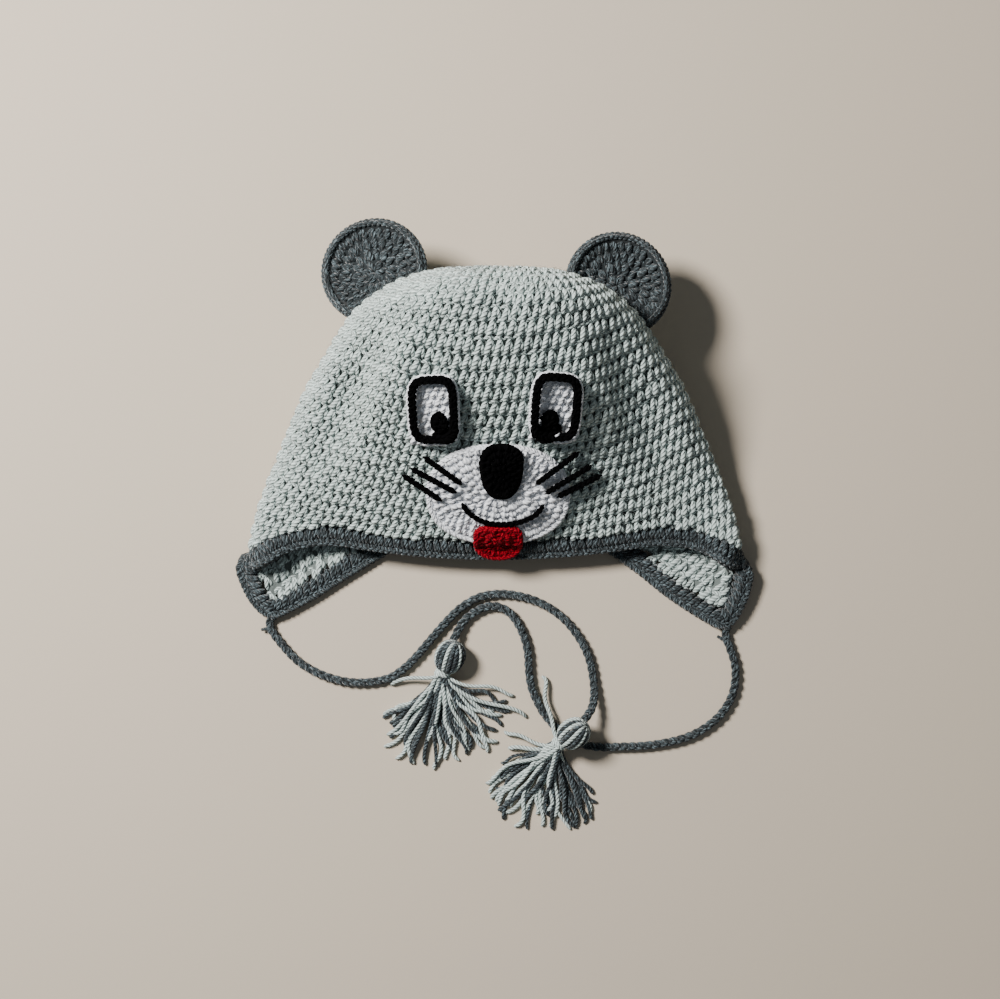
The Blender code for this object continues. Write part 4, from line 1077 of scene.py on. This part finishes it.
class HAT_OT_ties(HatOperator, bpy.types.Operator):
    bl_idname = "hat.ties"
    bl_label = "Ties"

    def execute(self, context):
        sizes = context.scene.hat_sizes
        for name, route, tassel in (("tie_left", TIE_LEFT_ROUTE, "tassel_left"),
                                    ("tie_right", TIE_RIGHT_ROUTE, "tassel_right")):
            path = tie_path(route, 0.0009)
            yarn = Yarn(11 if name == "tie_left" else 12)
            yarn.plait(path, UPWARD, *TIE_PLAIT, sizes.plait_pitch)
            self.knot(yarn, path[0], path[0] - path[3])
            self.tail(yarn, path[6], -1 if name == "tie_left" else 1)
            piece = yarn.build(name + "_plait", dark_yarn(), "dark_yarn", [name])
            line = tie_path(route, 0.004)
        return {"FINISHED"}

    def tail(self, yarn, at, side):
        """The short yarn end that sticks out beside the knot."""
        t = np.linspace(0, 1, 8)[:, None]
        path = at + t * np.array([-0.0042, 0.0008, 0.0]) + t ** 2 * np.array([0, 0.0010 * side, 0])
        yarn.strands([path], [np.linspace(0.0011, 0.0006, 8)], UPWARD, sides=6)

    def knot(self, yarn, at, way):
        """A small knot where the tie leaves the flap."""
        way = unit(np.array([way[0], way[1], 0.0]))
        side = np.array([-way[1], way[0], 0.0])
        turn = np.linspace(0, 2 * math.pi * 1.6, 30)
        loop = (at + way * (0.0005 + 0.0009 * np.sin(turn * 0.5))[:, None]
                + side * (0.0017 * np.cos(turn))[:, None]
                + UPWARD * (0.0012 * np.sin(turn))[:, None])
        yarn.strands([loop], [np.full(30, 0.0008)], way, sides=6)


def crown_surface():
    """The crown's outer form, carried on a little past its rim."""
    shares = np.linspace(0, CROWN_END, 160)
    rim, above = crown_round(0.0, 400), crown_round(RIM_STEP, 400)
    grid = [rim + (rim - above) * 2, rim * 2 - above] + [crown_round(share, 400)
                                                         for share in shares]
    shares = np.concatenate([[-2 * RIM_STEP, -RIM_STEP], shares])
    return Surface(grid, closed=True, shares=shares)


def crown_lines(surface, height):
    """The lines between the crown's rounds, which rise towards its sides."""
    ring = surface.at(FIRST_ROUND, np.arange(surface.grid.shape[1]) / surface.grid.shape[1])[0]
    rise = SIDE_RISE * (ring[:, 0] / np.abs(ring[:, 0]).max()) ** 2
    legs = np.linalg.norm(np.diff(surface.grid, axis=0), axis=2)
    travelled = np.vstack([np.zeros(legs.shape[1]), np.cumsum(legs, axis=0)])
    mean = travelled.mean(axis=1)
    first, top = (np.interp(share, surface.shares, mean) for share in (FIRST_ROUND, CROWN_END))
    upper = []
    for far in np.linspace(first, top, round((top - first) / height) + 1):
        share = np.interp(far, mean, surface.shares)
        upper.append(share + rise * np.clip((1 - share) / 0.35, 0, 1))
    start = [np.interp(share, surface.shares, travelled[:, step])
             for step, share in enumerate(upper[0])]
    front = start[0] - np.interp(0, surface.shares, travelled[:, 0])
    even = front / max(1, round(front / height))
    lower = []
    for count in range(1, 20):
        line = np.array([np.interp(start[step] - count * even, travelled[:, step], surface.shares)
                         for step in range(len(start))])
        lower.insert(0, np.maximum(line, -0.008))
        if line.max() <= 0:
            break
    return lower + upper


class HAT_OT_crown(HatOperator, bpy.types.Operator):
    """Crochet the crown's rounds, in four quarters, over a deep inner skin."""

    bl_idname = "hat.crown"
    bl_label = "Crown"

    def execute(self, context):
        sizes = context.scene.hat_sizes
        surface = crown_surface()
        lines = crown_lines(surface, sizes.row_height)
        quarters = [("crown_front_right", 0.00, 0.25, 6, 8), ("crown_back_right", 0.25, 0.50, 5, 6),
                    ("crown_back_left", 0.50, 0.75, 5, 6), ("crown_front_left", 0.75, 1.00, 6, 8)]
        for order, (name, low, high, sides, steps) in enumerate(quarters):
            yarn = Yarn(61 + order)
            yarn.crochet(surface, lines, sizes.stitch_width, sizes.yarn_radius, slant=0.37,
                         lift=-0.00055, least=NARROWEST_ROW, part=(low, high), sides=sides, steps=steps)
            yarn.build(name, light_yarn(), "light_yarn", ["crown"])
        self.line(surface, sizes)
        return {"FINISHED"}

    def line(self, surface, sizes):
        """The skin deep between the stitches and the inside of the hat, in the yarn darkened as painted
        shade, and its loose fibres.
        """
        yarn = Yarn(65)
        rows = np.unique(np.append(np.arange(2, len(surface.grid), 4), len(surface.grid) - 1))
        grid, out = surface.grid[rows][:, ::4], surface.out[rows][:, ::4]
        # Painted shade: the skins and the inside of the hat take the darkened copy of the yarn
        yarn.skin(grid - out * SKIN_DEPTH, True)
        yarn.skin(grid - out * LINING_DEPTH, True, flip=True)
        inside = Surface(surface.grid - surface.out * INSIDE_DEPTH, closed=True, flip=True,
                         shares=surface.shares)
        yarn.crochet(inside, inside.even_lines(sizes.row_height)[1:9], sizes.stitch_width * 1.2,
                     sizes.yarn_radius * 1.05, stitch=INSIDE_STITCH, sides=4, steps=5)
        yarn.build("crown_lining", painted_shade_light_yarn(), "light_yarn", ["crown"])
        yarn = Yarn(66)
        yarn.fuzz(surface, 2400, 0.0026, -0.0001, low=0.0, high=0.97)
        yarn.build("crown_fibres", light_yarn(), "light_yarn", ["crown"])


class HAT_OT_border(HatOperator, bpy.types.Operator):
    """Crochet the dark border round the rim and the flaps."""

    bl_idname = "hat.border"
    bl_label = "Border"

    def execute(self, context):
        sizes = context.scene.hat_sizes
        path = smooth_path(border_path(), 0.0010, closed=True)
        points, up = path[:, :3], unit(path[:, 3:6])
        free = running_mean(path[:, 6], 7, True)
        ahead = unit(np.roll(points, -2, axis=0) - np.roll(points, 2, axis=0))
        side = unit(np.cross(up, ahead))
        up = np.cross(ahead, side)
        on_flap = np.clip((-EDGE_TO_ORIGIN - BORDER_WIDTH - points[:, 1]) / BORDER_WIDTH, 0, 1)
        half = (BORDER_WIDTH + (FLAP_BORDER_WIDTH - BORDER_WIDTH) * on_flap) / 2
        yarn = Yarn(71)
        angle = np.arange(12) / 12 * 2 * math.pi
        core = (points[:, None] + side[:, None] * (half[:, None] * np.cos(angle) * 0.97)[..., None]
                + up[:, None] * (BORDER_THICKNESS / 2 * np.sin(angle) * 0.62)[..., None])
        yarn.skin(np.vstack([core, core[:1]]), True, tint=0.0)
        length = len(points)
        count = round(length * 0.0010 / sizes.border_pitch)
        strand = resampled(BORDER_STRAND, 10)
        for face in (1, -1):
            for order, (slant, thick) in enumerate(BORDER_SLANTS):
                starts = (np.arange(count) + 0.46 * order) / count * length
                starts = starts + yarn.random.normal(0, 0.14, count)
                where = starts[:, None] - slant * strand[:, 0]
                low = np.floor(where).astype(int)
                share = where - low

                def read(values):
                    near, after = values[low % length], values[(low + 1) % length]
                    weight = share[..., None] if values.ndim > 1 else share
                    return near * (1 - weight) + after * weight

                outer = (read(side) * (read(free) * read(half) * strand[:, 0])[..., None])
                rise = face * strand[:, 1] * BORDER_THICKNESS / 2 - (face < 0) * 0.0004
                paths = read(points) + outer + read(up) * rise[None, :, None]
                radii = np.tile(thick * strand[:, 2], (count, 1))
                radii = radii * yarn.random.normal(1, 0.06, (count, 1))
                yarn.strands(paths, radii, face * unit(read(up)), sides=6)
        for rise, reach, pitch in BORDER_CHAINS:
            edge = (points + side * (free * half * reach)[:, None]
                    + up * BORDER_THICKNESS * rise)
            yarn.plait(edge, up, *BORDER_CHAIN, pitch, closed=True)
        yarn.build("rim_border_yarn", dark_yarn(), "dark_yarn", ["rim_border"])
        return {"FINISHED"}


class HAT_OT_flaps(HatOperator, bpy.types.Operator):
    """Crochet the two ear flaps, whose inner side lies uppermost."""

    bl_idname = "hat.flaps"
    bl_label = "Ear flaps"

    def execute(self, context):
        sizes = context.scene.hat_sizes
        for order, (name, lean) in enumerate((("flap_left", 31), ("flap_right", -31))):
            low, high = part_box(name)
            tree = node_tree_of(name)
            middle = np.array([(low.x + high.x) / 2, (low.y + high.y) / 2])
            reach = max(high.x - low.x, high.y - low.y) * 0.75
            turn = math.radians(lean)
            along_way = np.array([-math.sin(turn), math.cos(turn)])
            across_way = np.array([math.cos(turn), math.sin(turn)])
            shares = np.linspace(-reach, reach, 44)
            plan = (middle + shares[:, None, None] * along_way + shares[None, :, None] * across_way)
            surface = Surface(draped(tree, plan, 0.004), closed=False)
            yarn = Yarn(81 + order)
            yarn.crochet(surface, surface.even_lines(sizes.row_height * 0.95),
                         sizes.stitch_width * 1.1, sizes.yarn_radius, keep=near(tree, 0.0019), lift=-0.0004,
                         wobble=2.2)
            yarn.build(name + "_stitches", light_yarn(), "light_yarn", [name])
            # Painted shade: the flap's core, seen between its stitches, is in the darkened copy of the yarn
            core_piece(name, name + "_core", 0.0009, painted_shade_light_yarn())
        return {"FINISHED"}


def draw_in(piece, depth):
    """Move a copied form's surface inwards."""
    mesh = piece.data
    points = np.array([vertex.co for vertex in mesh.vertices])
    keys = {}
    for index, point in enumerate(np.round(points, 6)):
        keys.setdefault(tuple(point), []).append(index)
    normals = np.zeros_like(points)
    for polygon in mesh.polygons:
        for corner in polygon.vertices:
            normals[corner] += np.array(polygon.normal) * polygon.area
    for shared in keys.values():
        normals[shared] = normals[shared].sum(axis=0)
    points = points - unit(normals) * depth
    points[:, 2] = np.maximum(points[:, 2], LOWEST_YARN)
    mesh.vertices.foreach_set("co", points.ravel())
    mesh.update()


def core_piece(node, name, depth, material):
    """A node's own form drawn in, as the filling under its stitches."""
    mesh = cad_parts[node].data.copy()
    piece = add_object(name, mesh)
    draw_in(piece, depth)
    mesh.materials.clear()
    mesh.materials.append(material)
    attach(piece, "root")
    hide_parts(node)
    return piece


class HAT_OT_ears(HatOperator, bpy.types.Operator):
    """Crochet the two round ears with their chained edges."""

    bl_idname = "hat.ears"
    bl_label = "Ears"

    def execute(self, context):
        sizes = context.scene.hat_sizes
        for order, (name, (at, lean_side)) in enumerate(EARS.items()):
            tree = node_tree_of(name)
            turn = np.array(Euler((-EAR_LEAN, lean_side * EAR_LEAN, 0)).to_matrix())
            centre = np.array([*at, EAR_RISE])
            near_ear = near(tree, 0.0012)
            yarn = Yarn(91 + order)
            for front, sides in ((True, 5), (False, 4)):
                grid = []
                for share in np.linspace(0.03, 0.90, 24):
                    angle = np.arange(120) / 120 * 2 * math.pi
                    fall = np.interp(share, (0.0, 0.45, 0.80, 0.90), (1.0, 0.85, 0.35, 0.20))
                    height = EAR_THICKNESS / 2 - EAR_CUP * fall - (0 if front else EAR_THICKNESS)
                    ring = columns(share * EAR_RADIUS * np.cos(angle),
                                   share * EAR_RADIUS * np.sin(angle), np.full(120, height))
                    grid.append(ring @ turn.T + centre)
                surface = Surface(grid, closed=True, flip=front)
                yarn.crochet(surface, surface.even_lines(sizes.ear_round), *PATCH_STITCH,
                             keep=near_ear, lift=-0.0006, slant=0.4, sides=sides, steps=7)
            angle = np.arange(230) / 230 * 2 * math.pi
            for height, reach, width in ((0.0014, 0.945, 0.00112), (-0.0014, 0.945, 0.00112),
                                         (0.0, 0.985, 0.00100)):
                ring = columns(reach * EAR_RADIUS * np.cos(angle),
                               reach * EAR_RADIUS * np.sin(angle), np.full(230, height))
                out = columns(np.cos(angle), np.sin(angle), np.full(230, height * 500))
                ring = ring @ turn.T + centre
                self.edge(yarn, ring, unit(out) @ turn.T, near_ear, width)
            yarn.build(name + "_stitches", dark_yarn(), "dark_yarn", [name])
            core_piece(name, name + "_core", 0.0008, dark_yarn())
        return {"FINISHED"}

    def edge(self, yarn, ring, out, near_ear, width):
        """A chain along the part of the ear's edge that stands clear of the crown."""
        clear = near_ear(ring)
        start = int(np.argmin(clear)) if not clear.all() else 0
        order = (np.arange(len(ring)) + start) % len(ring)
        kept = order[clear[order]]
        path, ways = ring[kept], out[kept]
        yarn.plait(path, ways, width, 0.00045, 0.00092, 0.0066)


class HAT_OT_muzzle(HatOperator, bpy.types.Operator):
    """Crochet the white muzzle in oval rounds."""

    bl_idname = "hat.muzzle"
    bl_label = "Muzzle"

    def execute(self, context):
        sizes = context.scene.hat_sizes
        outline = oval(MUZZLE_AT, MUZZLE_HALF, 2.3)
        surface = rounds_surface("muzzle", outline)
        yarn = Yarn(101)
        yarn.crochet(surface, surface.even_lines(sizes.patch_round), *PATCH_STITCH,
                     lift=-0.0003, slant=0.4, sides=5, steps=6, wobble=1.5)
        yarn.fuzz(surface, 800, 0.0022, 0.0)
        tree = node_tree_of("muzzle")
        edge_plan = oval(MUZZLE_AT, (MUZZLE_HALF[0] * 0.985, MUZZLE_HALF[1] * 0.98), 2.3, 170)
        edge = laid(tree, edge_plan, -0.0004)
        yarn.plait(edge, UPWARD, *MUZZLE_EDGE, closed=True)
        yarn.build("muzzle_stitches", white_yarn(), "white_yarn", ["muzzle"])
        core_piece("muzzle", "muzzle_core", 0.0005, white_yarn())
        return {"FINISHED"}


class HAT_OT_nose(HatOperator, bpy.types.Operator):
    """Crochet the black nose, wide at its top."""

    bl_idname = "hat.nose"
    bl_label = "Nose"

    def execute(self, context):
        outline = oval(NOSE_AT, NOSE_HALF, 2.4)
        height = (outline[:, 1] - NOSE_AT[1]) / NOSE_HALF[1]
        width = np.interp(height, (-1, -0.75, -0.3, 0.3, 1), (0.34, 0.50, 0.78, 0.94, 0.99))
        outline[:, 0] = NOSE_AT[0] + (outline[:, 0] - NOSE_AT[0]) * width
        outline[:, 0] += 0.0006 * np.clip(-height, 0, 1)
        surface = rounds_surface("nose", outline)
        yarn = Yarn(111)
        yarn.crochet(surface, surface.even_lines(NOSE_GAUGE.row), NOSE_GAUGE.width,
                     NOSE_GAUGE.yarn, lift=-0.0004, slant=0.4, steps=6)
        yarn.fuzz(surface, 200, 0.0016, 0.0)
        yarn.build("nose_stitches", black_yarn(), "black_yarn", ["nose"])
        core_piece("nose", "nose_core", 0.0003, black_yarn())
        return {"FINISHED"}


# How far the stitched pupil sits from the pupil's solid, and its half width and height
PUPIL_REACH = {"left": ((0.0026, -0.0022), (0.0052, 0.0062)),
               "right": ((-0.0018, -0.0034), (0.0060, 0.0056))}


class HAT_OT_eyes(HatOperator, bpy.types.Operator):
    """Crochet the white eyes, their black outlines and the pupils."""

    bl_idname = "hat.eyes"
    bl_label = "Eyes"

    def execute(self, context):
        for order, (name, (at, inward, turn)) in enumerate(EYES.items()):
            patch = "eye_patch_" + name
            white = Yarn(121 + order)
            half = (EYE_HALF[0] * 0.93, EYE_HALF[1] * 0.95)
            across = np.linspace(-half[0], half[0], 16)
            upward = np.linspace(-half[1], half[1], 20)
            x, y = np.meshgrid(across, upward)
            plan = np.stack([at[0] + x * math.cos(turn) - y * math.sin(turn),
                             at[1] + x * math.sin(turn) + y * math.cos(turn)], axis=-1)
            surface = Surface(draped(node_tree_of(patch), plan), closed=False)
            white.crochet(surface, surface.even_lines(EYE_GAUGE.row), EYE_GAUGE.width,
                          EYE_GAUGE.yarn, lift=-0.0003, steps=6)
            edge_plan = oval(at, (EYE_HALF[0] * 0.97, EYE_HALF[1] * 0.97), 3.6, 90, turn)
            tree = node_tree_of(patch)
            edge = laid(tree, edge_plan, -0.0004)
            white.plait(edge, UPWARD, *EYE_EDGE, closed=True)
            white.build("eye_white_" + name, white_yarn(), "white_yarn", [patch])
            core_piece(patch, "eye_core_" + name, 0.0004, white_yarn())
            ring_name = "eye_outline_" + name
            tree = node_tree_of(ring_name)
            ring_half = (EYE_HALF[0] - 1.3 * EYE_OUTLINE_RADIUS, EYE_HALF[1] - 1.3 * EYE_OUTLINE_RADIUS)
            ring_plan = smooth_path(columns(oval(at, ring_half, 4.2, 40, turn), np.zeros(40)),
                                    0.0006, closed=True)
            ring = laid(tree, ring_plan, -EYE_OUTLINE_RADIUS * 0.8)
            ring[:, 2] = running_mean(ring[:, 2], 9, True)
            black = Yarn(131 + order)
            black.plait(ring, UPWARD, *EYE_CHAIN, closed=True)
            black.build("eye_chain_" + name, black_yarn(), "black_yarn", [ring_name])
            inside = (ring_half[0] - EYE_OUTLINE_RADIUS - 2 * GAP,
                      ring_half[1] - EYE_OUTLINE_RADIUS - 2 * GAP)
            pupil_at = (at[0] + inward * (inside[0] - PUPIL_HALF[0] - GAP),
                        at[1] - (inside[1] - PUPIL_HALF[1] - GAP))
            # The pupil's outer stitches reach the outline in the eye's lower inner corner
            shift, half = PUPIL_REACH[name]
            reach = oval((pupil_at[0] + shift[0], pupil_at[1] + shift[1]), half, 2.4, 48)
            pupil = rounds_surface("pupil_" + name, reach, rows=8)
            black = Yarn(141 + order)
            black.crochet(pupil, pupil.even_lines(PUPIL_GAUGE.row), PUPIL_GAUGE.width,
                          PUPIL_GAUGE.yarn, lift=-0.0004, steps=6)
            black.build("pupil_stitches_" + name, black_yarn(), "black_yarn", ["pupil_" + name])
            core_piece("pupil_" + name, "pupil_core_" + name, 0.0001, black_yarn())
        return {"FINISHED"}


def sewn_path(node, ends, radius):
    """A strand's middle line in plan through some points, at its node's height."""
    plan = smooth_path([(MUZZLE_AT[0] + x * MUZZLE_HALF[0], MUZZLE_AT[1] + y * MUZZLE_HALF[1], 0)
                        for x, y in ends], 0.0005)
    path = laid(node_tree_of(node), plan, -radius)
    path[:, 2] = running_mean(path[:, 2], 9, False)
    return path


class HAT_OT_glint(HatOperator, bpy.types.Operator):
    """Sew the small white stitch at the corner of the right pupil."""

    bl_idname = "hat.glint"
    bl_label = "Glint"

    def execute(self, context):
        tree = node_tree_of("eye_outline_right")
        plan = smooth_path([(0.0246, -0.0054, 0), (0.0253, -0.0051, 0), (0.0260, -0.0045, 0)],
                           0.0003)
        path = laid(tree, plan, 0.0003)
        path[[0, -1], 2] -= 0.0006
        yarn = Yarn(155)
        yarn.strands([path], np.full(len(path), 0.00045), UPWARD, sides=6)
        yarn.build("eye_glint", white_yarn(), "white_yarn", ["eye_outline_right"])
        return {"FINISHED"}


class HAT_OT_mouth(HatOperator, bpy.types.Operator):
    """Sew the mouth's line and crochet the red tongue."""

    bl_idname = "hat.mouth"
    bl_label = "Mouth and tongue"

    def execute(self, context):
        yarn = Yarn(151)
        yarn.twisted(sewn_path("mouth_line", MOUTH_POINTS, YARN_RADIUS), UPWARD, 0.00120,
                     taper=0.001)
        yarn.build("mouth_strand", black_yarn(), "black_yarn", ["mouth_line"])
        middle = (MUZZLE_AT[0], (TONGUE_TOP + TONGUE_BOTTOM) / 2)
        half = (TONGUE_HALF_WIDTH, (TONGUE_TOP - TONGUE_BOTTOM) / 2)
        square, tip = oval(middle, half, 5.0), oval(middle, half, 2.2)
        outline = np.where(square[:, 1:] > middle[1], square, tip)
        surface = rounds_surface("tongue", outline)
        yarn = Yarn(152)
        yarn.crochet(surface, surface.even_lines(TONGUE_GAUGE.row), TONGUE_GAUGE.width,
                     TONGUE_GAUGE.yarn, lift=-0.0005, slant=0.4, steps=6)
        yarn.fuzz(surface, 160, 0.0014, 0.0)
        tree = node_tree_of("tongue")
        edge_plan = middle + (outline - middle) * 0.95
        edge = smooth_path(laid(tree, edge_plan, -0.0003), 0.0006, closed=True)
        yarn.plait(edge, UPWARD, *TONGUE_EDGE, closed=True)
        yarn.build("tongue_stitches", red_yarn(), "red_yarn", ["tongue"])
        core_piece("tongue", "tongue_core", 0.0004, red_yarn())
        return {"FINISHED"}


class HAT_OT_whiskers(HatOperator, bpy.types.Operator):
    """Sew the six whiskers as single strands."""

    bl_idname = "hat.whiskers"
    bl_label = "Whiskers"

    def execute(self, context):
        for order, (name, ends) in enumerate(WHISKERS.items()):
            yarn = Yarn(161 + order)
            yarn.twisted(sewn_path(name, ends, YARN_RADIUS), UPWARD, 0.00130,
                         taper=0.0016)
            yarn.build(name + "_strand", black_yarn(), "black_yarn", [name])
        return {"FINISHED"}


OPERATORS = (HAT_OT_stage, HAT_OT_tassels, HAT_OT_ties, HAT_OT_crown, HAT_OT_border, HAT_OT_flaps,
             HAT_OT_ears, HAT_OT_muzzle, HAT_OT_nose, HAT_OT_eyes, HAT_OT_glint, HAT_OT_mouth,
             HAT_OT_whiskers)


class HAT_PT_panel(bpy.types.Panel):
    """The hat's sizes, colours and pieces."""

    bl_idname = "HAT_PT_panel"
    bl_label = "Baby hat"
    bl_space_type = "VIEW_3D"
    bl_region_type = "UI"
    bl_category = "Baby hat"

    def draw(self, context):
        for group in (context.scene.hat_sizes, context.scene.hat_colours):
            box = self.layout.box()
            for name in group.__annotations__:
                box.prop(group, name)
        for operator in OPERATORS:
            self.layout.operator(operator.bl_idname)


CLASSES = (HatSizes, HatColours, *OPERATORS, HAT_PT_panel)


def register():
    """Register the classes and the scene's properties."""
    for each in CLASSES:
        bpy.utils.register_class(each)
    bpy.types.Scene.hat_sizes = bpy.props.PointerProperty(type=HatSizes)
    bpy.types.Scene.hat_colours = bpy.props.PointerProperty(type=HatColours)


def unregister():
    """Take the classes and the properties away again."""
    del bpy.types.Scene.hat_colours
    del bpy.types.Scene.hat_sizes
    for each in reversed(CLASSES):
        bpy.utils.unregister_class(each)


def main():
    """Build every piece."""
    register()
    for operator in OPERATORS:
        group, name = operator.bl_idname.split(".")
        getattr(getattr(bpy.ops, group), name)()


if __name__ == "__main__":
    main()
